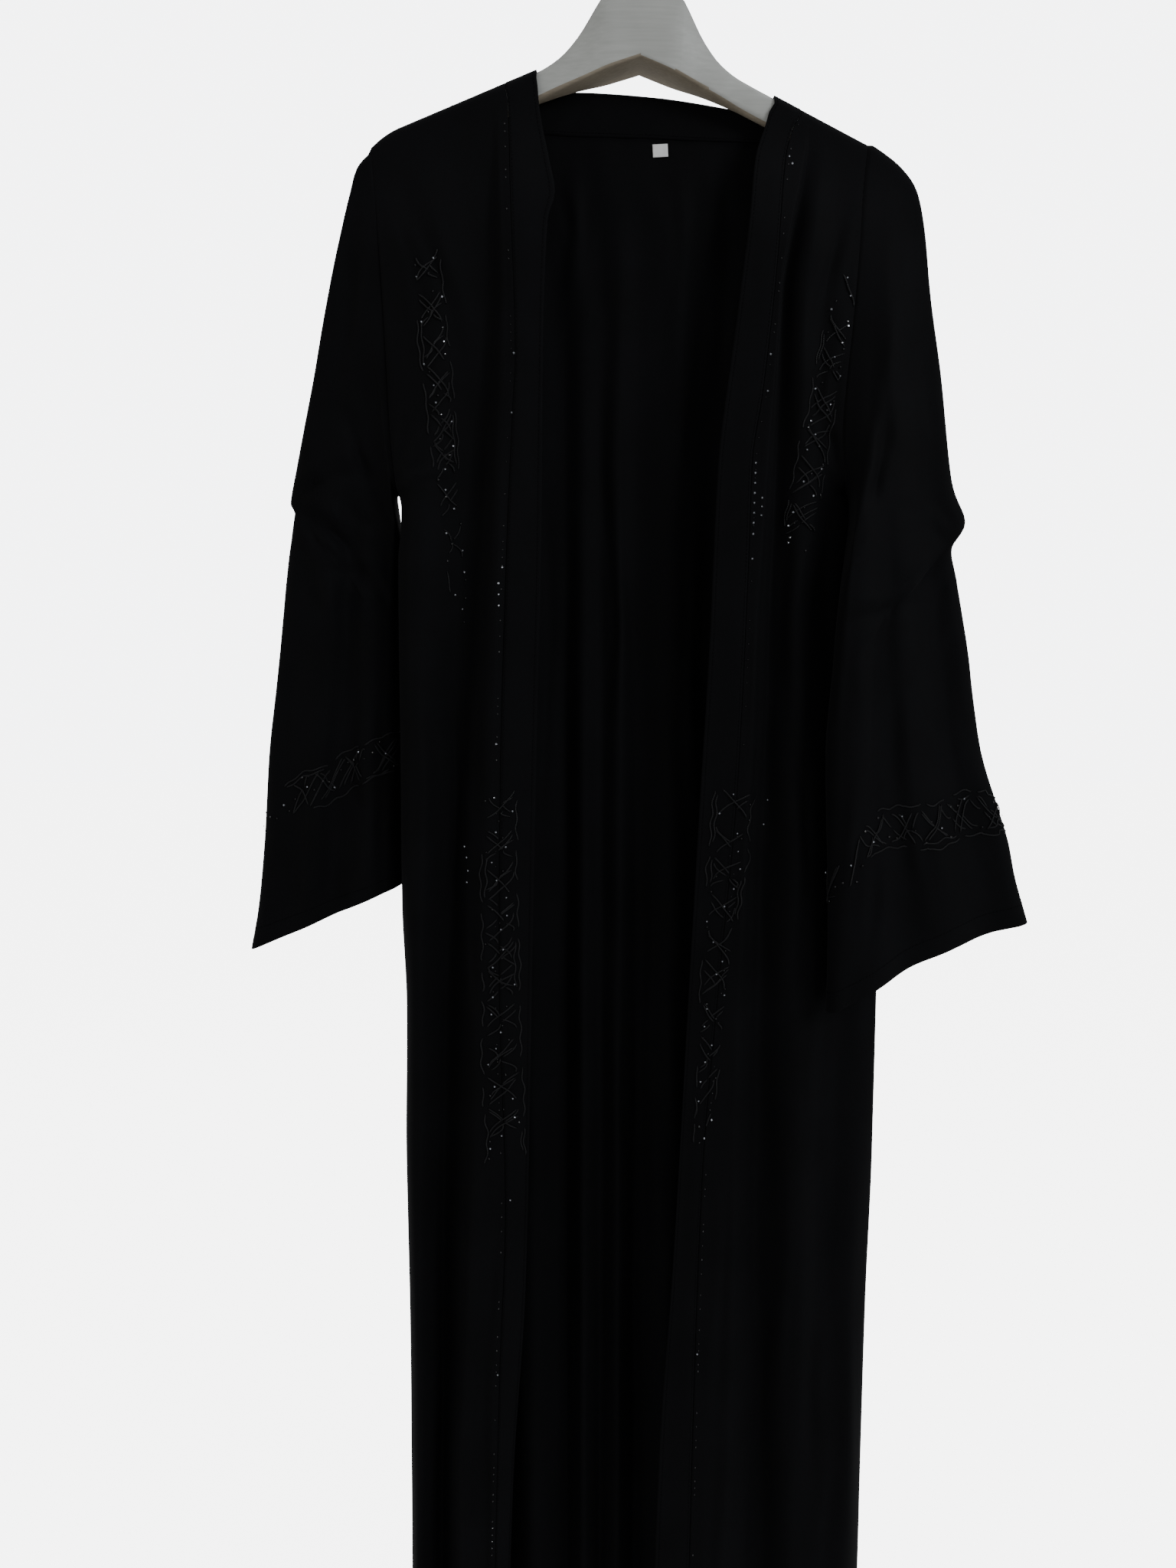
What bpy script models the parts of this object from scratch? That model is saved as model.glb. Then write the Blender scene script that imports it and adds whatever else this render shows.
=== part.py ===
"""Open-fronted abaya cloak hanging on a painted wooden hanger.

The cloak faces -Y with +Z up. Left and right are as seen from the front, so left lies at -X. The origin is
the point of the hook that rests on a rod. Tables are in millimetres, and heights are below that origin.
"""

import math
from collections import namedtuple

import bmesh
import bpy
import numpy as np
from mathutils import Matrix, Vector
from mathutils.bvhtree import BVHTree

MM = 0.001

# Cloth walls, and the halves of the gaps that are left at the seams
CLOTH = 1.4
BAND = 1.8
FLAT_SEAM = 0.2
TURNED_SEAM = 0.5
ARMHOLE_SEAM = 0.4
UNDERARM_SEAM = 1.3

# Heights that the fold tables are given at
CHEST = -300.0
WAIST = -560.0
HIP = -900.0
HEM = -1536.0
UNDERARM = -447.0
LEVELS = (CHEST, WAIST, HIP, HEM)

# Hanger, drawn level and then rolled clockwise about the centre of its hook
ROLL = math.radians(2.4)
PIVOT_Z = -22.0
ARM_END = 217.0
ARM_START = 87.0
ARM_SLOPE = 0.45
ARM_DROOP_FROM = 193.0
ARM_DROOP = 75.0
BELLY = ((0, -108.0), (30, -118.5), (60, -130.0), (95, -146.0), (ARM_END, -200.5))
ARM_HALF = 6.0
ARM_TOP_POINTS = 109
END_TAPERS = ((0.8, 0.78), (0.0, 0.45))
SECTION_POINTS = 12
HALF_DEPTHS = ((0, 17.5), (22, 17.0), (50, 11.0), (70, 8.0), (84, 6.2), (95, ARM_HALF))
CORNERS = ((0, 3.0), (34, 3.0), (84, 5.0), (95, 5.5))
SHOULDER_TOP = (
    (0, -58), (20, -58), (28, -60), (33, -64), (39, -73.5), (48, -88),
    (54.5, -96.5), (62, -104.5), (70, -110.5), (78, -115), (ARM_START, -119),
)
STATIONS = (0, 20, 28, 34, 40, 47, 54.5, 62, 70, 78, 87, 120, 160, 193, 206, 213)

# Hook of round wire
WIRE_RADIUS = 2.0
BORE_RADIUS = 2.35
BORE_DEPTH = 14.0
BORE_OVER = 6.0
BORE_SIDES = 20
HOOK_RADIUS = -PIVOT_Z + WIRE_RADIUS
HOOK_STEM_TOP = -50.0
HOOK_TIP_ANGLE = math.radians(218)
HOOK_STEPS = 17
HOOK_BEND_STEPS = 6
HOOK_SIDES = 3

# How the cloth lies over the arms, then leaves them
WRAP_RADIUS = 8.0
LEAVE = 110.0
WRAP_ANGLES = (0.0, math.radians(45), math.radians(90))

# Shares along an armhole or a sleeve's section, between its rounded ends
MIDDLE_SHARES = (0.07, 0.16, 0.28, 0.41, 0.54, 0.67, 0.80)
NECK_ROW = len(WRAP_ANGLES)
ROUND_END = (1.0, 1.0 - math.cos(math.radians(45)), 0.0)
SKIRT_SHARES = (0.025, 0.06, 0.11, 0.18, 0.26, 0.34, 0.42, 0.50, 0.59, 0.68, 0.77, 0.86, 0.93, 1.0)

SideRow = namedtuple("SideRow", "z left right")
SIDES = (
    SideRow(-447, -203.5, 168.0),
    SideRow(-456, -201.3, 168.5),
    SideRow(-475, -201.5, 169.2),
    SideRow(-500, -204.3, 172.0),
    SideRow(-560, -204.8, 184.0),
    SideRow(-650, -205.0, 198.0),
    SideRow(-796, -205.8, 205.5),
    SideRow(-878, -203.0, 206.5),
    SideRow(-1018, -205.3, 206.3),
    SideRow(-1161, -204.3, 203.5),
    SideRow(-1339, -205.3, 202.3),
    SideRow(HEM, -207.0, 201.0),
)

ArmholeRow = namedtuple("ArmholeRow", "z x")
LEFT_ARMHOLE = (
    ArmholeRow(-174, -221.0),
    ArmholeRow(-253, -214.0),
    ArmholeRow(-333, -210.0),
    ArmholeRow(-395, -207.5),
    ArmholeRow(UNDERARM, -203.5),
)
RIGHT_ARMHOLE = (
    ArmholeRow(-167, 181.0),
    ArmholeRow(-200, 177.5),
    ArmholeRow(-306, 170.0),
    ArmholeRow(-398, 164.0),
    ArmholeRow(UNDERARM, 168.0),
)
ARMHOLE_DEPTH = 17.5
ARMHOLE_UNDER_RADIUS = 20.0
SWELL_LENGTH = 90.0

# A fold line runs down a panel. Its x is given at the shoulder and at the four levels, its y at the levels.
Line = namedtuple("Line", "name top chest waist hip hem y_chest y_waist y_hip y_hem")
LEFT_LINES = (
    Line("ridge_a", -178, -168, -188, -190, -196, -26, -34, -36, -40),
    Line("valley", -123, -125, -147, -168, -182, -14, -11, -11, -15),
    Line("ridge_b", -117, -112, -122, -136, -157, -24, -32, -34, -46),
)
RIGHT_LINES = (
    Line("ridge_a", 160, 148, 159, 174, 166, -20, -12, -12, -44),
    Line("ridge_b", 146, 130, 127, 136, 138, -24, -23, -28, -38),
    Line("valley", 134, 112.6, 107, 103, 113, -13, -11, -12, -16),
    Line("ridge_c", 130, 108.5, 92, 80, 70, -26, -30, -33, -42),
)
SEAM_Y = (-25, -29, -32, -37)
EDGE_Y = (-23, -25, -27, -29)
BACK_LINES = (
    Line("swell_1", -196, -188, -188, -188, -188, 20, 28, 32, 40),
    Line("dip_1", -168, -160, -160, -160, -160, 14, 15, 16, 14),
    Line("swell_2", -140, -128, -128, -128, -128, 20, 28, 32, 42),
    Line("dip_2", -112, -98, -98, -98, -98, 14, 16, 16, 14),
    Line("swell_3", -80, -66, -66, -66, -66, 18, 26, 32, 40),
    Line("dip_3", -58, -50, -50, -50, -50, 15, 18, 18, 18),
    Line("swell_4", -36, -34, -34, -34, -34, 17, 24, 28, 36),
    Line("dip_4", -16, -18, -18, -18, -18, 15, 18, 18, 16),
    Line("swell_5", 4, -2, -2, -2, -2, 17, 25, 30, 38),
    Line("dip_5", 36, 28, 28, 28, 28, 14, 16, 16, 14),
    Line("swell_6", 82, 62, 62, 62, 62, 18, 26, 30, 42),
    Line("dip_6", 126, 92, 92, 92, 92, 14, 15, 16, 14),
    Line("swell_7", 140, 128, 128, 128, 128, 20, 28, 32, 42),
    Line("dip_7", 154, 160, 160, 160, 160, 14, 14, 16, 14),
    Line("swell_8", 168, 188, 188, 188, 188, 20, 26, 30, 38),
)
NECK_CORNERS = ("dip_2", "dip_6")
FRONT_SPLITS = 3
BACK_SPLITS = 3
BAND_SPLITS = 2
SPREAD_FROM = 120.0
SPREAD_FULL = 205.0

# The seam of each front band and its free edge, as z and x
LEFT_SEAM = (
    (-122, -112), (-142, -110), (-205, -108), (-339, -104.5), (-386, -107), (-510, -113),
    (-692, -119), (-857, -121), (-1050, -117), (-1209, -123), (-1421, -129), (HEM, -131),
)
LEFT_EDGE = (
    (-112, -87), (-141, -85), (-190, -76), (-212, -72), (-235, -78), (-325, -82), (-482, -84),
    (-676, -89), (-844, -93), (-1125, -100), (-1309, -112), (-1421, -116), (HEM, -118),
)
RIGHT_SEAM = (
    (-140, 126), (-182, 113.6), (-295, 104), (-369, 96), (-426, 88), (-507, 86),
    (-692, 79), (-855, 65.5), (-1023, 53), (-1191, 48), (-1421, 44), (HEM, 42),
)
RIGHT_EDGE = (
    (-131, 104.7), (-156, 97.6), (-182, 89.5), (-234, 84), (-325, 73), (-426, 61),
    (-578, 55), (-692, 49), (-855, 41), (-1125, 28), (-1265, 19), (-1421, 14), (HEM, 12),
)

# Back neck band: where its seam and its free edge run below the hanger, as x and z
NECK_SEAM = ((-221, -199), (-112, -154), (5, -157), (126, -163), (181, -191))
NECK_EDGE = ((-84, -122), (-50, -122.5), (5, -126), (65, -134.5), (101, -142.5))
NECK_Y = 9.0
NECK_LEAN = 0.3
NECK_BULGE = 4.2
BULGE_FROM = 100.0
BULGE_FULL = 64.0

# Sleeve sections: the outer and inner ends, the radius of each end, the half-depth between, and how far
# the inner end lies forward
SleeveRow = namedtuple("SleeveRow", "name out_x out_z in_x in_z out_radius depth in_radius lean")
LEFT_SLEEVE = (
    SleeveRow("armhole", -221.0, -174.0, -203.5, -447.0, 8, 17.5, 20, 0),
    SleeveRow("cap", -233.0, -187.0, -207.3, -452.0, 8, 17, 17, 0),
    SleeveRow("crown", -240.0, -210.0, -207.0, -462.0, 9, 17, 15, 3),
    SleeveRow("biceps", -258.0, -283.0, -204.4, -487.0, 11, 17, 13, 10),
    SleeveRow("upper", -273.0, -356.0, -206.2, -520.0, 12, 17, 12, 12),
    SleeveRow("elbow_tip", -294.4, -455.0, -206.6, -566.0, 12, 18, 12, 12),
    SleeveRow("elbow_notch", -291.2, -463.0, -206.6, -571.0, 12, 18, 12, 12),
    SleeveRow("forearm", -298.0, -507.0, -206.7, -600.0, 13, 18, 12, 12),
    SleeveRow("middle", -309.0, -597.0, -206.8, -650.0, 13, 18, 13, 12),
    SleeveRow("lower", -318.0, -664.0, -207.0, -690.0, 13, 19, 13, 12),
    SleeveRow("wrist", -324.5, -742.0, -207.1, -730.0, 14, 19, 14, 12),
    SleeveRow("hem_seam", -331.0, -797.0, -207.3, -757.0, 14, 20, 14, 12),
    SleeveRow("hem", -338.5, -835.6, -207.4, -779.3, 14, 20, 14, 12),
)
RIGHT_SLEEVE = (
    SleeveRow("armhole", 181.0, -167.0, 168.0, -447.0, 8, 17.5, 20, 0),
    SleeveRow("cap", 195.0, -176.0, 171.0, -452.0, 8, 16, 16, -7),
    SleeveRow("tip", 209.0, -187.0, 172.0, -460.0, 8, 15, 14, -14),
    SleeveRow("crown", 222.0, -205.0, 171.5, -470.0, 9, 14, 12, -21),
    SleeveRow("shoulder", 229.0, -235.0, 169.5, -485.0, 10, 14, 11, -28),
    SleeveRow("biceps", 235.0, -283.0, 165.5, -505.0, 11, 14, 11, -34),
    SleeveRow("upper", 246.0, -350.0, 161.0, -530.0, 12, 14, 11, -38),
    SleeveRow("elbow_top", 259.0, -440.0, 157.0, -575.0, 12, 14, 11, -38),
    SleeveRow("elbow_tip", 270.6, -470.9, 156.0, -592.0, 12, 14, 11, -38),
    SleeveRow("elbow_notch", 259.7, -492.4, 155.0, -605.0, 12, 14, 11, -38),
    SleeveRow("forearm", 263.5, -512.0, 153.5, -622.0, 12, 14, 11, -38),
    SleeveRow("middle", 275.0, -570.0, 151.5, -659.0, 12, 14, 11, -38),
    SleeveRow("lower", 290.0, -660.0, 153.0, -715.0, 12, 14, 11, -38),
    SleeveRow("wrist", 308.0, -715.0, 155.0, -760.0, 12, 14, 12, -38),
    SleeveRow("cuff", 317.0, -742.0, 156.0, -795.0, 12, 14, 12, -38),
    SleeveRow("hem_seam", 323.5, -771.0, 156.5, -838.0, 12, 14, 12, -38),
    SleeveRow("hem", 336.0, -811.8, 156.0, -881.0, 12, 14, 12, -38),
)
LEFT_RINGS = (0, 1, 2, 2.5, 3, 3.5, 4, 4.5, 5, 6, 6.5, 7, 7.5, 8, 8.5, 9, 9.5, 10, 10.5, 11, 12)
RIGHT_RINGS = (0, 1, 2, 3, 4, 5, 5.5, 6, 6.5, 7, 8, 9, 10, 10.5, 11, 11.5, 12, 12.5, 13, 14, 15, 16)
RIGHT_HEM_BOW = 11.0

# Soft folds along a sleeve: where round its width, how wide, how proud on the front and back, and the
# share of its length where they start and are full
SleeveFold = namedtuple("SleeveFold", "at width front back start full")
LEFT_SLEEVE_FOLDS = (
    SleeveFold(0.36, 0.16, 4.0, 3.0, 0.10, 0.50),
    SleeveFold(0.56, 0.14, -4.5, -3.5, 0.15, 0.60),
    SleeveFold(0.76, 0.14, 4.0, 3.0, 0.25, 0.80),
)
RIGHT_SLEEVE_FOLDS = (
    SleeveFold(0.20, 0.14, -3.0, -2.0, 0.20, 0.60),
    SleeveFold(0.42, 0.16, 4.0, 3.0, 0.15, 0.50),
    SleeveFold(0.62, 0.14, -4.0, -2.5, 0.20, 0.70),
    SleeveFold(0.80, 0.14, 3.5, 2.0, 0.20, 0.60),
)

# Woven tag
TAG_CENTRE = (14.0, -168.0)
TAG_SIZE = (12.5, 10.0)
TAG_THICKNESS = 1.0
TAG_TURN = math.radians(3)
TAG_GAP = 0.3
TAG_COLUMNS = 4
TAG_ROWS = 3
RAY_START = -200.0


def eased(t):
    """Smooth step from 0 to 1, held outside."""
    t = min(max(t, 0.0), 1.0)
    return t * t * (3.0 - 2.0 * t)


def through(keys, values, at):
    """A monotone cubic through the values, held level beyond the end keys."""
    keys = np.asarray(keys, float)
    values = np.asarray(values, float)
    if keys[0] > keys[-1]:
        keys = keys[::-1]
        values = values[::-1]
    if at <= keys[0]:
        return float(values[0])
    if at >= keys[-1]:
        return float(values[-1])
    steps = np.diff(keys)
    slopes = np.diff(values) / steps
    tangents = np.zeros(len(keys))
    tangents[0] = slopes[0]
    tangents[-1] = slopes[-1]
    for index in range(1, len(keys) - 1):
        before, after = slopes[index - 1], slopes[index]
        if before * after > 0:
            tangents[index] = 2.0 * before * after / (before + after)
    cell = int(np.searchsorted(keys, at) - 1)
    t = (at - keys[cell]) / steps[cell]
    start, end = values[cell], values[cell + 1]
    rise = steps[cell]
    return float(
        (2 * t**3 - 3 * t**2 + 1) * start
        + (t**3 - 2 * t**2 + t) * rise * tangents[cell]
        + (3 * t**2 - 2 * t**3) * end
        + (t**3 - t**2) * rise * tangents[cell + 1]
    )


def along(table, at):
    """The second column of a two-column table at a value of its first."""
    return through([row[0] for row in table], [row[1] for row in table], at)


def rolled(x, z):
    """A point of the level hanger after the roll."""
    return (
        x * math.cos(ROLL) + (z - PIVOT_Z) * math.sin(ROLL),
        PIVOT_Z + (z - PIVOT_Z) * math.cos(ROLL) - x * math.sin(ROLL),
    )


def hanger_top(x):
    """Height of the level hanger's upper side."""
    reach = abs(x)
    if reach <= ARM_START:
        return along(SHOULDER_TOP, reach)
    droop = max(0.0, reach - ARM_DROOP_FROM) ** 2 / ARM_DROOP
    return SHOULDER_TOP[-1][1] - ARM_SLOPE * (reach - ARM_START) - droop


ARM_TOP = [rolled(x, hanger_top(x)) for x in np.linspace(-ARM_END, ARM_END, ARM_TOP_POINTS)]


def wrap_centre(x):
    """Height of the middle of the arm's rounded top, which the cloth wraps about."""
    xs = [point[0] for point in ARM_TOP]
    zs = [point[1] for point in ARM_TOP]
    if x < xs[0]:
        return zs[0] - ARM_HALF - (xs[0] - x) * ARM_SLOPE
    return float(np.interp(x, xs, zs)) - ARM_HALF


def wrap_point(x, angle, side, gap):
    """A point of the cloth over the arm. Side is -1 for the front and +1 for the back."""
    y = side * (WRAP_RADIUS * math.sin(angle) + (gap if angle == 0 else 0.0))
    return (x, y, wrap_centre(x) + WRAP_RADIUS * math.cos(angle))


def ring_distances(length, out_radius, in_radius):
    """How far down a section its points lie: three round each end and the shares between."""
    free = length - out_radius - in_radius
    top = [out_radius * (1.0 - share) for share in (1.0, math.cos(math.radians(45)), 0.0)]
    middle = [out_radius + share * free for share in MIDDLE_SHARES]
    bottom = [length - in_radius * share for share in ROUND_END]
    return top + middle + bottom


def half_depth(down, up, out_radius, depth, in_radius):
    """Half-depth of a flattened tube at a distance below its outer end and above its inner end."""
    if down < out_radius:
        value = out_radius * math.sqrt(1.0 - (1.0 - down / out_radius) ** 2)
    else:
        value = out_radius + (depth - out_radius) * eased((down - out_radius) / SWELL_LENGTH)
    if up < in_radius:
        value *= math.sqrt(max(0.0, 1.0 - (1.0 - up / in_radius) ** 2))
    return value


def armhole_points(table, side):
    """The armhole's half loop, from the shoulder seam to the underarm."""
    top_x = table[0].x
    top_z = wrap_centre(top_x) + WRAP_RADIUS
    length = top_z - UNDERARM
    points = []
    for down in ring_distances(length, WRAP_RADIUS, ARMHOLE_UNDER_RADIUS):
        z = top_z - down
        depth = half_depth(down, length - down, WRAP_RADIUS, ARMHOLE_DEPTH, ARMHOLE_UNDER_RADIUS)
        points.append((along([(row.z, row.x) for row in table], z), side * depth, z))
    return points


def row_shares(table):
    """The share of the height from the wrap's end to the underarm at each row of an armhole."""
    heights = [point[2] for point in armhole_points(table, -1)]
    start = heights[len(WRAP_ANGLES) - 1]
    return [(start - z) / (start - UNDERARM) for z in heights]


def skirt_heights():
    """Heights of the rows below the underarm."""
    return [UNDERARM + share * (HEM - UNDERARM) for share in SKIRT_SHARES]


def side_x(z, right):
    """The side seam below the underarm."""
    return through([row.z for row in SIDES], [row.right if right else row.left for row in SIDES], z)


def level_value(values, z):
    """A fold's value at a height, from its four levels."""
    return through(LEVELS, values, z)


def drop_y(values, z, start, side):
    """How far out the cloth hangs at a height, from lying on the arm to its fold's own depth."""
    away = eased((start - z) / LEAVE)
    lying = side * WRAP_RADIUS
    return lying + (level_value(values, z) - lying) * away


def front_controls(lines, seam, armhole, right):
    """For each row of a front, its control points: side seam, fold lines, band seam."""
    shares = row_shares(armhole)
    edge = armhole_points(armhole, -1)
    inward = -1.0 if right else 1.0
    rows = []
    heights = [None] * len(shares) + skirt_heights()
    for index, level in enumerate(heights):
        if level is None:
            x, y, z = edge[index]
            if index in (0, len(shares) - 1):
                y = -TURNED_SEAM
            row = [(x + inward * ARMHOLE_SEAM, y, z)]
        else:
            row = [(side_x(level, right) + inward * ARMHOLE_SEAM, -TURNED_SEAM, level)]
        for line in lines:
            row.append(line_point(line, index, level, shares, -1))
        row.append(seam_point(seam, SEAM_Y, index, level, shares, -inward * FLAT_SEAM))
        rows.append(row)
    return rows


def line_point(line, index, level, shares, side):
    """A fold line's point on a row."""
    if index < len(WRAP_ANGLES):
        return wrap_point(line.top, WRAP_ANGLES[index], side, TURNED_SEAM)
    start = wrap_centre(line.top)
    z = level if level is not None else start + shares[index] * (UNDERARM - start)
    body = level_value((line.chest, line.waist, line.hip, line.hem), z)
    x = line.top + (body - line.top) * eased((start - z) / (start - CHEST))
    y = drop_y((line.y_chest, line.y_waist, line.y_hip, line.y_hem), z, start, side)
    return (x, y, z)


def seam_point(table, y_values, index, level, shares, offset):
    """A point of a band's seam or free edge on a row."""
    top_x = table[0][1]
    if index < len(WRAP_ANGLES):
        return wrap_point(top_x + offset, WRAP_ANGLES[index], -1, TURNED_SEAM)
    start = wrap_centre(top_x)
    z = level if level is not None else start + shares[index] * (UNDERARM - start)
    return (along(table, z) + offset, drop_y(y_values, z, start, -1), z)


def across(controls, splits, rounds):
    """Points across a row. A segment named in rounds turns like a quarter ellipse, and the rest are waves."""
    points = []
    for index, (start, end) in enumerate(zip(controls, controls[1:])):
        for step in range(splits):
            t = step / splits
            if rounds.get(index) == "start":
                share_x = 1.0 - math.cos(t * math.pi / 2)
                share_y = math.sin(t * math.pi / 2)
            elif rounds.get(index) == "end":
                share_x = math.sin(t * math.pi / 2)
                share_y = 1.0 - math.cos(t * math.pi / 2)
            else:
                share_x = t
                share_y = eased(t)
            points.append((
                start[0] + (end[0] - start[0]) * share_x,
                start[1] + (end[1] - start[1]) * share_y,
                start[2] + (end[2] - start[2]) * share_x,
            ))
    points.append(controls[-1])
    return points


def rewrapped(rows, side):
    """Lays the first rows on the arm at each of their columns, as an arm's top isn't straight."""
    for index, angle in enumerate(WRAP_ANGLES):
        rows[index] = [wrap_point(point[0], angle, side, TURNED_SEAM) for point in rows[index]]
    return rows


def make_material(name, colour, roughness, metallic=0.0):
    """A plain surface finish."""
    material = bpy.data.materials.new(name)
    material.use_nodes = True
    shader = material.node_tree.nodes["Principled BSDF"]
    shader.inputs["Base Color"].default_value = (*colour, 1.0)
    shader.inputs["Roughness"].default_value = roughness
    shader.inputs["Metallic"].default_value = metallic
    material.diffuse_color = (*colour, 1.0)
    return material


def mesh_object(name, points, faces, collection, material):
    """An object from points in millimetres."""
    mesh = bpy.data.meshes.new(name)
    mesh.from_pydata([tuple(value * MM for value in point) for point in points], [], faces)
    mesh.validate()
    work = bmesh.new()
    work.from_mesh(mesh)
    bmesh.ops.recalc_face_normals(work, faces=work.faces)
    work.to_mesh(mesh)
    work.free()
    mesh.materials.append(material)
    item = bpy.data.objects.new(name, mesh)
    collection.objects.link(item)
    return item


def cloth_object(name, rows, collection, material, thickness, ring=False, absent=()):
    """A wall of cloth on a grid of rows. Absent cells are left out, and a ring closes across its columns."""
    columns = len(rows[0])
    points = []
    places = {}
    faces = []
    spans = columns if ring else columns - 1
    cells = [
        (row, column)
        for row in range(len(rows) - 1)
        for column in range(spans)
        if (row, column) not in absent
    ]
    for row, column in cells:
        face = []
        for down, along_row in ((0, 0), (0, 1), (1, 1), (1, 0)):
            key = (row + down, (column + along_row) % columns)
            if key not in places:
                places[key] = len(points)
                points.append(rows[key[0]][key[1]])
            face.append(places[key])
        faces.append(face)
    item = mesh_object(name, points, faces, collection, material)
    wall = item.modifiers.new("wall", "SOLIDIFY")
    wall.thickness = thickness * MM
    wall.offset = 0.0
    wall.use_even_offset = True
    return item


def front_panel(name, lines, seam, armhole, right, collection, material):
    """A front, from the side seam to the seam of its band."""
    controls = front_controls(lines, seam, armhole, right)
    rows = rewrapped([across(row, FRONT_SPLITS, {0: "start"}) for row in controls], -1)
    return cloth_object(name, rows, collection, material, CLOTH)


def front_band(name, seam, edge, armhole, right, collection, material):
    """The doubled band along a front's opening."""
    shares = row_shares(armhole)
    inward = -1.0 if right else 1.0
    rows = []
    for index, level in enumerate([None] * len(shares) + skirt_heights()):
        outer = seam_point(seam, SEAM_Y, index, level, shares, inward * FLAT_SEAM)
        inner = seam_point(edge, EDGE_Y, index, level, shares, 0.0)
        rows.append(across([outer, inner], BAND_SPLITS, {}))
    rows = rewrapped(rows, -1)
    return cloth_object(name, rows, collection, material, BAND)


def spread(x, z):
    """Moves the outer folds of the back with the side seam or the armhole."""
    if abs(x) <= SPREAD_FROM:
        return x
    right = x > 0
    if z < UNDERARM:
        reach = abs(side_x(z, right))
    else:
        table = RIGHT_ARMHOLE if right else LEFT_ARMHOLE
        reach = abs(along([(row.z, row.x) for row in table], z))
    moved = SPREAD_FROM + (abs(x) - SPREAD_FROM) * (reach - SPREAD_FROM) / (SPREAD_FULL - SPREAD_FROM)
    return math.copysign(moved, x)


def neck_row_z(x):
    """Height of the back's row that carries the neck seam."""
    return float(np.interp(x, [row[0] for row in NECK_SEAM], [row[1] for row in NECK_SEAM]))


def neck_y(x):
    """How far back the neck seam lies, as it passes behind the hanger's thicker middle."""
    return NECK_Y + NECK_BULGE * eased((BULGE_FROM - abs(x)) / (BULGE_FROM - BULGE_FULL))


def back_side(index, level, right):
    """The back's edge on a row, at the armhole or the side seam."""
    outward = 1.0 if right else -1.0
    if level is not None:
        return (side_x(level, right) - outward * ARMHOLE_SEAM, TURNED_SEAM, level)
    points = armhole_points(RIGHT_ARMHOLE if right else LEFT_ARMHOLE, 1)
    x, y, z = points[index]
    if index in (0, len(points) - 1):
        y = TURNED_SEAM
    return (x - outward * ARMHOLE_SEAM, y, z)


def back_line_point(line, index, level):
    """A fold line's point on a row of the back."""
    inset = -math.copysign(FLAT_SEAM, line.top) if line.name in NECK_CORNERS else 0.0
    top = line.top - inset
    if index < len(WRAP_ANGLES):
        return wrap_point(top, WRAP_ANGLES[index], 1, TURNED_SEAM)
    neck = neck_row_z(line.top)
    if index == NECK_ROW:
        return (top, neck_y(top), neck - FLAT_SEAM)
    shares = row_shares(LEFT_ARMHOLE)
    share = (shares[index] - shares[NECK_ROW]) / (1.0 - shares[NECK_ROW]) if level is None else 1.0
    z = level if level is not None else neck + share * (UNDERARM - neck)
    body = spread(line.chest, z)
    x = top + (body - top) * eased((neck - z) / (neck - CHEST))
    depth = level_value((line.y_chest, line.y_waist, line.y_hip, line.y_hem), z)
    y = neck_y(top) + (depth - neck_y(top)) * eased((neck - z) / LEAVE)
    return (x, y, z)


def back_controls():
    """For each row of the back, its control points from side to side."""
    count = len(row_shares(LEFT_ARMHOLE))
    rows = []
    for index, level in enumerate([None] * count + skirt_heights()):
        row = [back_side(index, level, False)]
        row += [back_line_point(line, index, level) for line in BACK_LINES]
        row.append(back_side(index, level, True))
        rows.append(row)
    return rows



def neck_columns():
    """The back's columns at the two corners of the neck."""
    names = [line.name for line in BACK_LINES]
    return [(names.index(name) + 1) * BACK_SPLITS for name in NECK_CORNERS]


def back_rows():
    """The back's grid."""
    controls = back_controls()
    rounds = {0: "start", len(controls[0]) - 2: "end"}
    return rewrapped([across(row, BACK_SPLITS, rounds) for row in controls], 1)


def back_panel(collection, material):
    """The back in one piece, cut away above the neck seam."""
    left, right = neck_columns()
    absent = {(row, column) for row in range(NECK_ROW) for column in range(left, right)}
    return cloth_object("back", back_rows(), collection, material, CLOTH, absent=absent)


def neck_band(collection, material):
    """The doubled band of the back neck, mitred where it turns down from each shoulder."""
    grid = back_rows()
    left, right = neck_columns()
    lift = (2 * FLAT_SEAM) * np.array((0.0, 0.0, 1.0))
    corner_in = (2 * FLAT_SEAM) * np.array((1.0, 0.0, 0.0))
    outer = [tuple(np.array(grid[row][left]) + corner_in) for row in range(NECK_ROW)]
    outer.append(tuple(np.array(grid[NECK_ROW][left]) + corner_in + lift))
    outer += [tuple(np.array(grid[NECK_ROW][column]) + lift) for column in range(left + 1, right)]
    outer.append(tuple(np.array(grid[NECK_ROW][right]) - corner_in + lift))
    outer += [tuple(np.array(grid[row][right]) - corner_in) for row in reversed(range(NECK_ROW))]
    left_x, right_x = LEFT_EDGE[0][1], RIGHT_EDGE[0][1]
    inner = [wrap_point(left_x, angle, 1, TURNED_SEAM) for angle in WRAP_ANGLES]
    first, last = NECK_EDGE[0][0], NECK_EDGE[-1][0]
    start_x, end_x = grid[NECK_ROW][left][0], grid[NECK_ROW][right][0]
    for column in range(left, right + 1):
        share = (grid[NECK_ROW][column][0] - start_x) / (end_x - start_x)
        x = first + (last - first) * share
        inner.append((x, neck_y(x) - NECK_LEAN, along(NECK_EDGE, x)))
    inner += [wrap_point(right_x, angle, 1, TURNED_SEAM) for angle in reversed(WRAP_ANGLES)]
    rows = [across([near, far], BAND_SPLITS, {}) for near, far in zip(inner, outer)]
    return cloth_object("neck_band", rows, collection, material, BAND)


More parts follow.
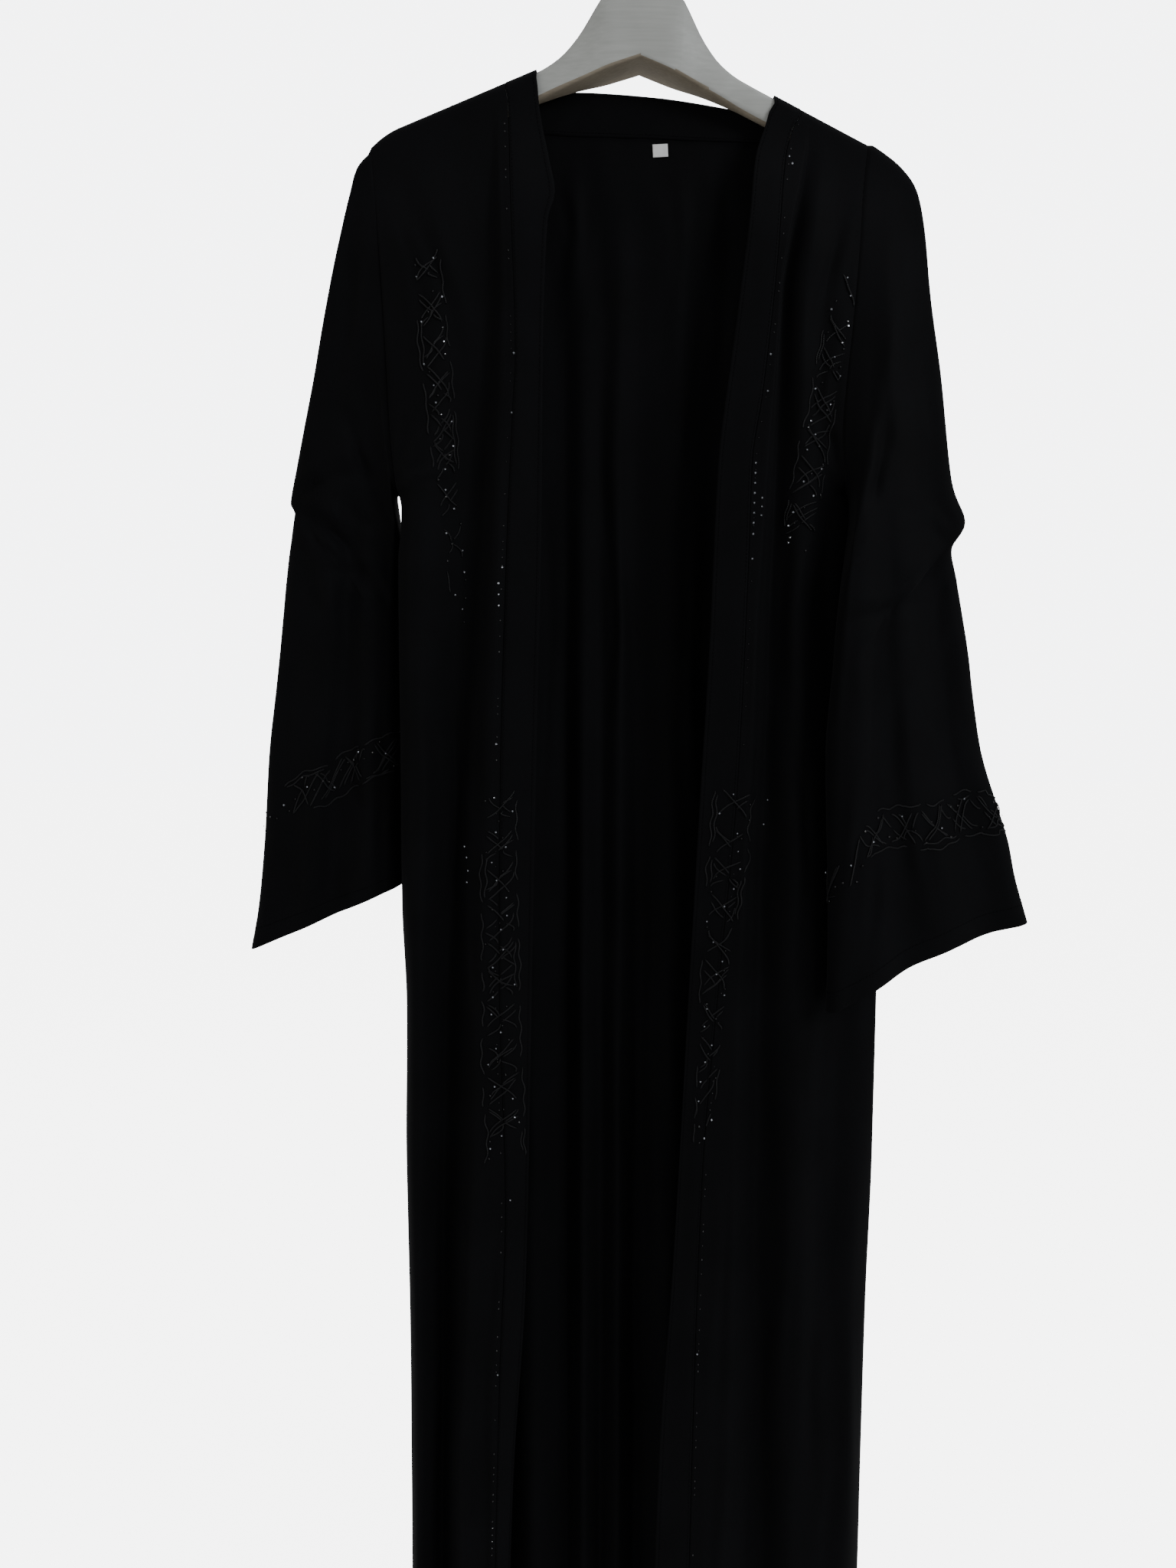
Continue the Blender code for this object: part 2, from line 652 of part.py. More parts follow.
def sleeve_rows(table, rings, armhole, folds, bow):
    """The sleeve's rings, each a flattened tube's section from the armhole to the hem."""
    outward = 1.0 if table[0].out_x > 0 else -1.0
    loop = armhole_points(armhole, -1)
    start, end = np.array(loop[0]), np.array(loop[-1])
    columns = SleeveRow._fields[1:]
    last = len(table) - 1
    rows = []
    for position in rings:
        values = {
            name: through(range(len(table)), [getattr(row, name) for row in table], position)
            for name in columns
        }
        outer = np.array((values["out_x"], 0.0, values["out_z"]))
        inner = np.array((values["in_x"], 0.0, values["in_z"]))
        length = float(np.linalg.norm(inner - outer))
        t = position / last
        front, back = [], []
        for index, down in enumerate(ring_distances(length, values["out_radius"], values["in_radius"])):
            w = down / length
            centre = (1.0 - w) * outer + w * inner
            lying = np.array((loop[index][0], 0.0, loop[index][2]))
            chord = (1.0 - w) * start + w * end
            chord[1] = 0.0
            centre = centre + (lying - chord) * (1.0 - t) ** 3
            centre[2] += bow * math.sin(math.pi * w) * t**4
            depth = half_depth(
                down, length - down, values["out_radius"], values["depth"], values["in_radius"]
            )
            if position == 0:
                gap = ARMHOLE_SEAM + (UNDERARM_SEAM - ARMHOLE_SEAM) * w**6
                centre = lying + np.array((outward * gap, 0.0, 0.0))
                depth = abs(loop[index][1])
            middle = values["lean"] * eased(w)
            proud_front, proud_back = 0.0, 0.0
            for fold in folds:
                near = eased(1.0 - abs(w - fold.at) / fold.width)
                ramp = eased((t - fold.start) / (fold.full - fold.start))
                proud_front += fold.front * near * ramp
                proud_back += fold.back * near * ramp
            front.append((centre[0], middle - depth - proud_front, centre[2]))
            back.append((centre[0], middle + depth + proud_back, centre[2]))
        rows.append(front + back[-2:0:-1])
    return rows


def rounded_section(top, bottom, half, corner):
    """A rectangle with rounded corners, as y and z, with three points a corner."""
    middle = (top + bottom) / 2
    tall = (top - bottom) / 2
    points = []
    for turn in range(4):
        sign_y = 1 if turn in (0, 3) else -1
        sign_z = 1 if turn in (0, 1) else -1
        for step in range(3):
            angle = math.radians(90 * turn + 45 * step)
            points.append((
                sign_y * (half - corner) + corner * math.cos(angle),
                middle + sign_z * (tall - corner) + corner * math.sin(angle),
            ))
    return points


def hanger_block(collection, material):
    """The wooden hanger: a hump in the middle and two sloping arms with rounded ends."""
    reaches = [(reach, 1.0) for reach in STATIONS]
    reaches += [(ARM_END - back, size) for back, size in END_TAPERS]
    stations = [(-reach, size) for reach, size in reversed(reaches[1:])] + reaches
    points, faces = [], []
    for x, size in stations:
        reach = abs(x)
        top = hanger_top(x)
        bottom = along(BELLY, reach)
        half = along(HALF_DEPTHS, reach) * size
        corner = along(CORNERS, reach) * size
        middle, tall = (top + bottom) / 2, (top - bottom) / 2 * size
        for y, z in rounded_section(middle + tall, middle - tall, half, corner):
            turned_x, turned_z = rolled(x, z)
            points.append((turned_x, y, turned_z))
    for ring in range(len(stations) - 1):
        for spot in range(SECTION_POINTS):
            after = (spot + 1) % SECTION_POINTS
            faces.append((
                ring * SECTION_POINTS + spot, ring * SECTION_POINTS + after,
                (ring + 1) * SECTION_POINTS + after, (ring + 1) * SECTION_POINTS + spot,
            ))
    faces.append(tuple(range(SECTION_POINTS)))
    faces.append(tuple((len(stations) - 1) * SECTION_POINTS + spot for spot in range(SECTION_POINTS)))
    return mesh_object("hanger", points, faces, collection, material)


def bore_hanger(hanger, cutters):
    """Drills the hump for the hook's stem."""
    top_z = SHOULDER_TOP[0][1]
    bpy.ops.mesh.primitive_cylinder_add(
        vertices=BORE_SIDES, radius=BORE_RADIUS * MM, depth=(BORE_DEPTH + BORE_OVER) * MM
    )
    cutter = bpy.context.active_object
    cutter.name = "stem_bore"
    middle_x, middle_z = rolled(0.0, top_z + (BORE_OVER - BORE_DEPTH) / 2)
    cutter.location = (middle_x * MM, 0.0, middle_z * MM)
    cutter.rotation_euler = (0.0, ROLL, 0.0)
    for group in list(cutter.users_collection):
        group.objects.unlink(cutter)
    cutters.objects.link(cutter)
    cutter.hide_render = True
    cutter.display_type = "WIRE"
    bore = hanger.modifiers.new("stem_bore", "BOOLEAN")
    bore.operation = "DIFFERENCE"
    bore.solver = "EXACT"
    bore.object = cutter


def hook_path():
    """The wire's centre line from the bore, out to one side and over the rod."""
    bottom = SHOULDER_TOP[0][1] - BORE_DEPTH + 2 * FLAT_SEAM
    path = [(0.0, bottom), (0.0, HOOK_STEM_TOP)]
    pull = 0.5 * (PIVOT_Z - HOOK_STEM_TOP)
    bends = (
        Vector((0.0, HOOK_STEM_TOP)),
        Vector((0.0, HOOK_STEM_TOP + pull)),
        Vector((HOOK_RADIUS, PIVOT_Z - pull)),
        Vector((HOOK_RADIUS, PIVOT_Z)),
    )
    for step in range(1, HOOK_BEND_STEPS + 1):
        t = step / HOOK_BEND_STEPS
        shares = ((1 - t) ** 3, 3 * t * (1 - t) ** 2, 3 * t * t * (1 - t), t**3)
        path.append(tuple(sum((bend * share for bend, share in zip(bends, shares)), Vector((0.0, 0.0)))))
    for step in range(1, HOOK_STEPS + 1):
        angle = HOOK_TIP_ANGLE * step / HOOK_STEPS
        path.append((HOOK_RADIUS * math.cos(angle), PIVOT_Z + HOOK_RADIUS * math.sin(angle)))
    return [rolled(x, z) for x, z in path]


def wire_hook(collection, material):
    """The steel hook."""
    curve = bpy.data.curves.new("hook", "CURVE")
    curve.dimensions = "3D"
    curve.bevel_depth = WIRE_RADIUS * MM
    curve.bevel_resolution = HOOK_SIDES
    curve.use_fill_caps = True
    path = hook_path()
    spline = curve.splines.new("POLY")
    spline.points.add(len(path) - 1)
    for point, (x, z) in zip(spline.points, path):
        point.co = (x * MM, 0.0, z * MM, 1.0)
    curve.materials.append(material)
    item = bpy.data.objects.new("hook", curve)
    collection.objects.link(item)
    return item


def size_tag(back, collection, material):
    """The bare woven tag, laid in front of the back's own surface."""
    graph = bpy.context.evaluated_depsgraph_get()
    surface = BVHTree.FromObject(back, graph)
    turn = Matrix.Rotation(TAG_TURN, 2)
    rows = []
    for line in range(TAG_ROWS + 1):
        row = []
        for column in range(TAG_COLUMNS + 1):
            offset = turn @ Vector((
                (column / TAG_COLUMNS - 0.5) * TAG_SIZE[0],
                (0.5 - line / TAG_ROWS) * TAG_SIZE[1],
            ))
            x, z = TAG_CENTRE[0] + offset[0], TAG_CENTRE[1] + offset[1]
            hit = surface.ray_cast(Vector((x * MM, RAY_START * MM, z * MM)), Vector((0.0, 1.0, 0.0)))[0]
            row.append((x, hit.y / MM - TAG_GAP - TAG_THICKNESS / 2, z))
        rows.append(row)
    return cloth_object("size_label", rows, collection, material, TAG_THICKNESS)



def build():
    """Makes every piece."""
    for item in list(bpy.data.objects):
        bpy.data.objects.remove(item)
    scene = bpy.context.scene
    cloak = bpy.data.collections.new("abaya_cloak")
    cutters = bpy.data.collections.new("cutters")
    scene.collection.children.link(cloak)
    scene.collection.children.link(cutters)
    cutters.hide_render = True

    black = (0.010, 0.010, 0.012)
    finishes = {
        name: make_material(name + "_crepe", black, 0.6)
        for name in (
            "front_left", "front_right", "back", "sleeve_left", "sleeve_right",
            "front_band_left", "front_band_right", "neck_band",
        )
    }
    front_panel("front_left", LEFT_LINES, LEFT_SEAM, LEFT_ARMHOLE, False, cloak, finishes["front_left"])
    front_panel("front_right", RIGHT_LINES, RIGHT_SEAM, RIGHT_ARMHOLE, True, cloak, finishes["front_right"])
    back = back_panel(cloak, finishes["back"])
    front_band(
        "front_band_left", LEFT_SEAM, LEFT_EDGE, LEFT_ARMHOLE, False, cloak, finishes["front_band_left"]
    )
    front_band(
        "front_band_right", RIGHT_SEAM, RIGHT_EDGE, RIGHT_ARMHOLE, True, cloak, finishes["front_band_right"]
    )
    neck_band(cloak, finishes["neck_band"])
    cloth_object(
        "sleeve_left", sleeve_rows(LEFT_SLEEVE, LEFT_RINGS, LEFT_ARMHOLE, LEFT_SLEEVE_FOLDS, 0.0),
        cloak, finishes["sleeve_left"], CLOTH, ring=True,
    )
    cloth_object(
        "sleeve_right",
        sleeve_rows(RIGHT_SLEEVE, RIGHT_RINGS, RIGHT_ARMHOLE, RIGHT_SLEEVE_FOLDS, RIGHT_HEM_BOW),
        cloak, finishes["sleeve_right"], CLOTH, ring=True,
    )
    hanger = hanger_block(cloak, make_material("hanger_paint", (0.32, 0.32, 0.30), 0.4))
    bore_hanger(hanger, cutters)
    wire_hook(cloak, make_material("hook_steel", (0.6, 0.6, 0.6), 0.3, 1.0))
    bpy.context.view_layer.update()
    size_tag(back, cloak, make_material("tag_weave", (0.8, 0.8, 0.8), 0.7))


if __name__ == "__main__":
    build()
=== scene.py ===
"""Dresses an open-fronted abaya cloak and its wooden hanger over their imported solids.

The cloak faces -Y with +Z up. Left and right are as seen from the front, so left lies at -X. The origin is
the point of the hook that rests on a rod. Tables are in millimetres, and heights are below that origin.
"""

import logging
import math
from dataclasses import dataclass, field
from enum import Enum
from typing import Any, Callable, NamedTuple, Sequence

import bpy
import numpy as np
from mathutils import Matrix, Vector
from mathutils.bvhtree import BVHTree


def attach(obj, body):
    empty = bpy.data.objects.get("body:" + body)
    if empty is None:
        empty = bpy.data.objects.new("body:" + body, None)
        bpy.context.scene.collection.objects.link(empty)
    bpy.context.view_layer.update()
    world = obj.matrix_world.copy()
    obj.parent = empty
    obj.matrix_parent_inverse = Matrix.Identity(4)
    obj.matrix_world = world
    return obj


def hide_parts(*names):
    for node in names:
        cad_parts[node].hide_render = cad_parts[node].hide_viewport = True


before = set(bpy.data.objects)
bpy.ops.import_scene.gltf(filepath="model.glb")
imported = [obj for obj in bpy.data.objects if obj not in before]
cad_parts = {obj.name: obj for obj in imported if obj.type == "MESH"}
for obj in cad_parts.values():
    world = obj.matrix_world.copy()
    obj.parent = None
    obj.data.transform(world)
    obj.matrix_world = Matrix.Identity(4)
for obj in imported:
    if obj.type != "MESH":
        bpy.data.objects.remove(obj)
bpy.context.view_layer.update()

LOG = logging.getLogger("abaya")

Point = tuple[float, float, float]
Flat = tuple[float, float]

MM = 0.001

# Cloth shells in mm: their thickness, and how far each edge stops short of its seam (below 0: overlaps it)
CREPE_THICKNESS = 0.9
BAND_THICKNESS = 1.3
FLAT_SEAM = 0.2
TURNED_SEAM = -0.3
ARMHOLE_SEAM = -0.25
UNDERARM_SEAM = 0.2

# Heights that the fold tables are given at
CHEST = -300.0
WAIST = -560.0
HIP = -900.0
HEM = -1536.0
UNDERARM = -447.0
LEVELS = (CHEST, WAIST, HIP, HEM)

# Hanger, drawn level and then rolled clockwise about the centre of its hook
ROLL = math.radians(2.4)
PIVOT_Z = -22.0
ARM_END = 217.0
ARM_START = 87.0
ARM_SLOPE = 0.45
ARM_DROOP_FROM = 193.0
ARM_DROOP = 75.0
BELLY = ((0, -108.0), (30, -118.5), (60, -130.0), (95, -146.0), (ARM_END, -200.5))
ARM_HALF = 6.0
HALF_DEPTHS = ((0, 17.5), (22, 17.0), (50, 11.0), (70, 8.0), (84, 6.2), (95, ARM_HALF))
CORNERS = ((0, 3.0), (34, 3.0), (84, 5.0), (95, 5.5))
SHOULDER_TOP = (
    (0, -58), (20, -58), (28, -60), (33, -64), (39, -73.5), (48, -88),
    (54.5, -96.5), (62, -104.5), (70, -110.5), (78, -115), (ARM_START, -119),
)

# Hook of round wire
WIRE_RADIUS = 2.0
BORE_DEPTH = 14.0
BORE_FLOOR_GAP = 0.4
HOOK_RADIUS = -PIVOT_Z + WIRE_RADIUS
HOOK_STEM_TOP = -50.0
HOOK_TIP_ANGLE = math.radians(218)

# How the cloth lies over the arms, then leaves them
WRAP_RADIUS = 8.0
LEAVE = 110.0
MIDDLE_FIRST_SHARE = 0.07
ARMHOLE_DEPTH = 17.5
ARMHOLE_UNDER_RADIUS = 20.0
SWELL_LENGTH = 90.0


class SideRow(NamedTuple):
    """Where the side seams lie at a height."""

    z: float
    left: float
    right: float


SIDES = (
    SideRow(-447, -203.5, 168.0),
    SideRow(-449, -202.9, 170.5),
    SideRow(-452, -202.2, 172.8),
    SideRow(-458, -201.2, 175.0),
    SideRow(-466, -201.3, 177.2),
    SideRow(-480, -202.0, 179.6),
    SideRow(-500, -204.3, 181.0),
    SideRow(-560, -204.8, 187.0),
    SideRow(-650, -205.0, 199.0),
    SideRow(-796, -205.8, 205.5),
    SideRow(-878, -203.0, 206.5),
    SideRow(-1018, -205.3, 206.3),
    SideRow(-1161, -204.3, 203.5),
    SideRow(-1339, -205.3, 202.3),
    SideRow(HEM, -207.0, 201.0),
)

# Armholes as height and x
LEFT_ARMHOLE = ((-174, -221.0), (-253, -214.0), (-333, -210.0), (-395, -207.5), (UNDERARM, -203.5))
RIGHT_ARMHOLE = ((-167, 181.0), (-200, 177.5), (-306, 170.0), (-398, 164.0), (UNDERARM, 168.0))


class Line(NamedTuple):
    """A fold line down a panel: its x at the shoulder and the four levels, and its y at the levels."""

    name: str
    top: float
    chest: float
    waist: float
    hip: float
    hem: float
    y_chest: float
    y_waist: float
    y_hip: float
    y_hem: float


LEFT_LINES = (
    Line("ridge_a", -178, -168, -188, -190, -196, -26, -34, -36, -40),
    Line("valley", -123, -125, -147, -168, -182, -14, -11, -11, -15),
    Line("ridge_b", -117, -112, -122, -136, -157, -24, -32, -34, -46),
)
RIGHT_LINES = (
    Line("ridge_a", 160, 148, 159, 174, 166, -20, -12, -12, -44),
    Line("ridge_b", 146, 130, 127, 136, 138, -24, -23, -28, -38),
    Line("valley", 134, 112.6, 107, 103, 113, -13, -11, -12, -16),
    Line("ridge_c", 130, 108.5, 92, 80, 70, -26, -30, -33, -42),
)
SEAM_Y = (-25, -29, -32, -37)
EDGE_Y = (-23, -25, -27, -29)
BACK_LINES = (
    Line("swell_1", -196, -188, -188, -188, -188, 20, 28, 32, 40),
    Line("dip_1", -168, -160, -160, -160, -160, 14, 15, 16, 14),
    Line("swell_2", -140, -128, -128, -128, -128, 20, 28, 32, 42),
    Line("dip_2", -112, -98, -98, -98, -98, 14, 16, 16, 14),
    Line("swell_3", -80, -66, -66, -66, -66, 18, 26, 32, 40),
    Line("dip_3", -58, -50, -50, -50, -50, 15, 18, 18, 18),
    Line("swell_4", -36, -34, -34, -34, -34, 17, 24, 28, 36),
    Line("dip_4", -16, -18, -18, -18, -18, 15, 18, 18, 16),
    Line("swell_5", 4, -2, -2, -2, -2, 17, 25, 30, 38),
    Line("dip_5", 36, 28, 28, 28, 28, 14, 16, 16, 14),
    Line("swell_6", 82, 62, 62, 62, 62, 18, 26, 30, 42),
    Line("dip_6", 126, 92, 92, 92, 92, 14, 15, 16, 14),
    Line("swell_7", 140, 128, 128, 128, 128, 20, 28, 32, 42),
    Line("dip_7", 154, 160, 160, 160, 160, 14, 14, 16, 14),
    Line("swell_8", 168, 188, 188, 188, 188, 20, 26, 30, 38),
)
NECK_CORNERS = ("dip_2", "dip_6")
SPREAD_FROM = 120.0
SPREAD_FULL = 205.0

# The seam of each front band and its free edge, as z and x
LEFT_SEAM = (
    (-122, -112), (-142, -110), (-205, -108), (-339, -104.5), (-386, -107), (-510, -113),
    (-692, -119), (-857, -121), (-1050, -117), (-1209, -123), (-1421, -129), (HEM, -131),
)
LEFT_EDGE = (
    (-112, -87), (-141, -85), (-190, -76), (-212, -72), (-235, -78), (-325, -82), (-482, -84),
    (-676, -89), (-844, -93), (-1125, -100), (-1309, -112), (-1421, -116), (HEM, -118),
)
RIGHT_SEAM = (
    (-140, 126), (-182, 113.6), (-295, 104), (-369, 96), (-426, 88), (-507, 86),
    (-692, 79), (-855, 65.5), (-1023, 53), (-1191, 48), (-1421, 44), (HEM, 42),
)
RIGHT_EDGE = (
    (-131, 104.7), (-156, 97.6), (-182, 89.5), (-234, 84), (-325, 73), (-426, 61),
    (-578, 55), (-692, 49), (-855, 41), (-1125, 28), (-1265, 19), (-1421, 14), (HEM, 12),
)

# Back neck band: where its seam and its free edge run below the hanger, as x and z
NECK_SEAM = ((-221, -199), (-112, -154), (5, -157), (126, -163), (181, -191))
NECK_EDGE = ((-84, -122), (-50, -122.5), (5, -126), (65, -134.5), (101, -142.5))
NECK_Y = 9.0
NECK_LEAN = 0.3
NECK_BULGE = 4.2
BULGE_FROM = 100.0
BULGE_FULL = 64.0


class SleeveRow(NamedTuple):
    """A sleeve's section: its two ends, their radii, the half-depth between, and the inner end's lean."""

    name: str
    out_x: float
    out_z: float
    in_x: float
    in_z: float
    out_radius: float
    depth: float
    in_radius: float
    lean: float


LEFT_SLEEVE = (
    SleeveRow("armhole", -221.0, -174.0, -203.5, -447.0, 8, 17.5, 20, 0),
    SleeveRow("cap", -233.0, -187.0, -207.3, -452.0, 8, 17, 17, 0),
    SleeveRow("crown", -240.0, -210.0, -207.0, -462.0, 9, 17, 15, 3),
    SleeveRow("biceps", -258.0, -283.0, -204.4, -487.0, 11, 17, 13, 10),
    SleeveRow("upper", -273.0, -356.0, -206.2, -520.0, 12, 17, 12, 12),
    SleeveRow("elbow_tip", -294.4, -455.0, -206.6, -566.0, 12, 18, 12, 12),
    SleeveRow("elbow_notch", -291.2, -463.0, -206.6, -571.0, 12, 18, 12, 12),
    SleeveRow("forearm", -298.0, -507.0, -206.7, -600.0, 13, 18, 12, 12),
    SleeveRow("middle", -309.0, -597.0, -206.8, -650.0, 13, 18, 13, 12),
    SleeveRow("lower", -318.0, -664.0, -207.0, -690.0, 13, 19, 13, 12),
    SleeveRow("wrist", -324.5, -742.0, -207.1, -730.0, 14, 19, 14, 12),
    SleeveRow("hem_seam", -331.0, -797.0, -207.3, -757.0, 14, 20, 14, 12),
    SleeveRow("hem", -338.5, -835.6, -207.4, -779.3, 14, 20, 14, 12),
)
RIGHT_SLEEVE = (
    SleeveRow("armhole", 181.0, -167.0, 168.0, -447.0, 8, 17.5, 20, 0),
    SleeveRow("cap", 195.0, -176.0, 171.0, -452.0, 8, 16, 16, -7),
    SleeveRow("tip", 209.0, -187.0, 172.0, -460.0, 8, 15, 14, -14),
    SleeveRow("crown", 222.0, -205.0, 171.5, -470.0, 9, 14, 12, -21),
    SleeveRow("shoulder", 229.0, -235.0, 169.5, -485.0, 10, 14, 11, -28),
    SleeveRow("biceps", 235.0, -283.0, 165.5, -505.0, 11, 14, 11, -34),
    SleeveRow("upper", 246.0, -350.0, 161.0, -530.0, 12, 14, 11, -38),
    SleeveRow("elbow_top", 259.0, -440.0, 157.0, -575.0, 12, 14, 11, -38),
    SleeveRow("elbow_tip", 270.6, -470.9, 156.0, -592.0, 12, 14, 11, -38),
    SleeveRow("elbow_notch", 259.7, -492.4, 155.0, -605.0, 12, 14, 11, -38),
    SleeveRow("forearm", 263.5, -512.0, 153.5, -622.0, 12, 14, 11, -38),
    SleeveRow("middle", 275.0, -570.0, 151.5, -659.0, 12, 14, 11, -38),
    SleeveRow("lower", 290.0, -660.0, 153.0, -715.0, 12, 14, 11, -38),
    SleeveRow("wrist", 308.0, -715.0, 155.0, -760.0, 12, 14, 12, -38),
    SleeveRow("cuff", 317.0, -742.0, 156.0, -795.0, 12, 14, 12, -38),
    SleeveRow("hem_seam", 323.5, -771.0, 156.5, -838.0, 12, 14, 12, -38),
    SleeveRow("hem", 336.0, -811.8, 156.0, -881.0, 12, 14, 12, -38),
)
RIGHT_HEM_BOW = 11.0


class SleeveFold(NamedTuple):
    """A fold along a sleeve: its place and width as shares, its heights, and where it starts and is full."""

    at: float
    width: float
    front: float
    back: float
    start: float
    full: float


LEFT_SLEEVE_FOLDS = (
    SleeveFold(0.36, 0.16, 4.0, 3.0, 0.10, 0.50),
    SleeveFold(0.56, 0.14, -4.5, -3.5, 0.15, 0.60),
    SleeveFold(0.76, 0.14, 4.0, 3.0, 0.25, 0.80),
)
RIGHT_SLEEVE_FOLDS = (
    SleeveFold(0.20, 0.14, -3.0, -2.0, 0.20, 0.60),
    SleeveFold(0.42, 0.16, 4.0, 3.0, 0.15, 0.50),
    SleeveFold(0.62, 0.14, -4.0, -2.5, 0.20, 0.70),
    SleeveFold(0.80, 0.14, 3.5, 2.0, 0.20, 0.60),
)


class Crease(NamedTuple):
    """A trough pressed into a sheet along a path of x and z. A negative depth makes a ridge."""

    path: tuple[Flat, ...]
    width: float
    depth: float


CREASE_GAIN = 1.4
LEFT_CREASES = (
    Crease(((-205, -182), (-182, -230), (-160, -292), (-150, -350)), 7.0, 1.6),
    Crease(((-212, -214), (-196, -262), (-187, -330)), 6.0, -1.4),
    Crease(((-206, -440), (-190, -404), (-170, -380), (-150, -368)), 5.0, 1.8),
    Crease(((-205, -452), (-184, -436), (-160, -430)), 4.5, -1.3),
    Crease(((-152, -560), (-160, -640), (-158, -730), (-166, -800)), 6.0, 1.6),
    Crease(((-186, -600), (-180, -700), (-186, -830), (-182, -960)), 6.5, -1.6),
    Crease(((-142, -620), (-147, -700), (-150, -810), (-146, -905)), 5.0, -1.4),
    Crease(((-176, -990), (-180, -1100), (-176, -1230), (-182, -1360)), 7.0, 1.8),
    Crease(((-137, -1010), (-150, -1136), (-161, -1280), (-160, -1430), (-162, -1536)), 9.0, -3.2),
    Crease(((-131, -1120), (-139, -1260), (-141, -1400), (-143, -1536)), 8.0, 3.0),
    Crease(((-196, -1100), (-192, -1240), (-197, -1400), (-193, -1520)), 5.0, -1.3),
)
RIGHT_CREASES = (
    Crease(((170, -182), (160, -232), (146, -290), (134, -340)), 6.0, 1.5),
    Crease(((166, -300), (152, -352), (142, -420), (138, -490)), 6.0, -1.6),
    Crease(((168, -440), (156, -408), (140, -384)), 5.0, 1.7),
    Crease(((120, -380), (122, -470), (117, -560), (120, -640)), 5.5, 1.5),
    Crease(((98, -560), (94, -660), (88, -760), (84, -850)), 5.0, -1.3),
    Crease(((134, -640), (140, -760), (136, -880), (142, -1000)), 7.0, 1.7),
    Crease(((160, -880), (152, -980), (158, -1100), (150, -1220), (154, -1330)), 8.0, 1.9),
    Crease(((186, -890), (190, -1010), (184, -1150), (188, -1300), (182, -1450)), 8.0, -2.0),
    Crease(((124, -960), (128, -1090), (122, -1230), (127, -1380)), 6.5, -1.6),
    Crease(((76, -1020), (72, -1150), (68, -1290), (62, -1420)), 5.5, 1.6),
    Crease(((174, -1290), (170, -1390), (175, -1500)), 6.0, 1.6),
    Crease(((92, -1130), (96, -1260), (90, -1400), (94, -1520)), 6.0, -1.6),
)
BACK_CREASES = (
    Crease(((-206, -440), (-176, -402), (-140, -386), (-100, -384)), 6.0, 1.7),
    Crease(((168, -440), (140, -408), (104, -392)), 6.0, 1.7),
    Crease(((-190, -196), (-150, -262), (-128, -340)), 8.0, 1.5),
    Crease(((150, -188), (130, -250), (118, -330)), 8.0, 1.5),
    Crease(((-60, -170), (-54, -230), (-62, -300)), 6.0, 1.1),
    Crease(((30, -172), (36, -240), (30, -330), (34, -420)), 6.5, 1.3),
    Crease(((66, -178), (72, -260), (66, -350)), 7.0, -1.2),
    Crease(((-20, -300), (-24, -420), (-16, -560), (-22, -700)), 5.0, 1.6),
    Crease(((-84, -420), (-80, -560), (-88, -720), (-82, -860)), 6.0, -1.6),
    Crease(((48, -460), (44, -600), (52, -760), (46, -900)), 6.0, 1.6),
    Crease(((-148, -520), (-142, -700), (-150, -880), (-144, -1060)), 7.0, 1.8),
    Crease(((112, -560), (118, -720), (110, -900), (116, -1080)), 7.0, -1.8),
    Crease(((-10, -820), (-14, -980), (-6, -1140), (-12, -1300)), 6.0, -1.6),
    Crease(((14, -760), (10, -920), (16, -1100), (12, -1260)), 5.5, 1.6),
    Crease(((-112, -960), (-116, -1120), (-108, -1290), (-114, -1460)), 7.0, 1.9),
    Crease(((78, -980), (74, -1140), (82, -1310), (76, -1480)), 7.0, 1.9),
    Crease(((148, -900), (152, -1080), (144, -1260), (150, -1440)), 7.0, -1.8),
    Crease(((-176, -1000), (-170, -1180), (-178, -1360), (-172, -1520)), 7.0, -1.8),
)
LEFT_SLEEVE_CREASES = (
    Crease(((-290, -462), (-268, -470), (-246, -492), (-232, -520)), 6.0, 3.2),
    Crease(((-291, -458), (-272, -440), (-252, -432), (-234, -430)), 6.0, 2.4),
    Crease(((-290, -472), (-274, -496), (-262, -530), (-256, -570)), 6.5, -2.4),
    Crease(((-208, -470), (-222, -448), (-236, -416), (-244, -380)), 6.0, 2.4),
    Crease(((-209, -486), (-230, -482), (-254, -468), (-270, -450)), 6.0, -2.0),
    Crease(((-212, -540), (-228, -520), (-246, -512), (-262, -512)), 6.0, 2.2),
    Crease(((-232, -206), (-234, -250), (-240, -300), (-248, -350)), 7.0, 1.8),
    Crease(((-300, -540), (-296, -590), (-302, -650), (-304, -700)), 7.0, 2.0),
    Crease(((-240, -600), (-246, -650), (-244, -710), (-250, -770)), 7.0, 2.2),
    Crease(((-272, -640), (-276, -700), (-282, -760), (-290, -810)), 8.0, -2.2),
    Crease(((-222, -620), (-220, -680), (-224, -730), (-222, -776)), 5.0, 1.6),
)
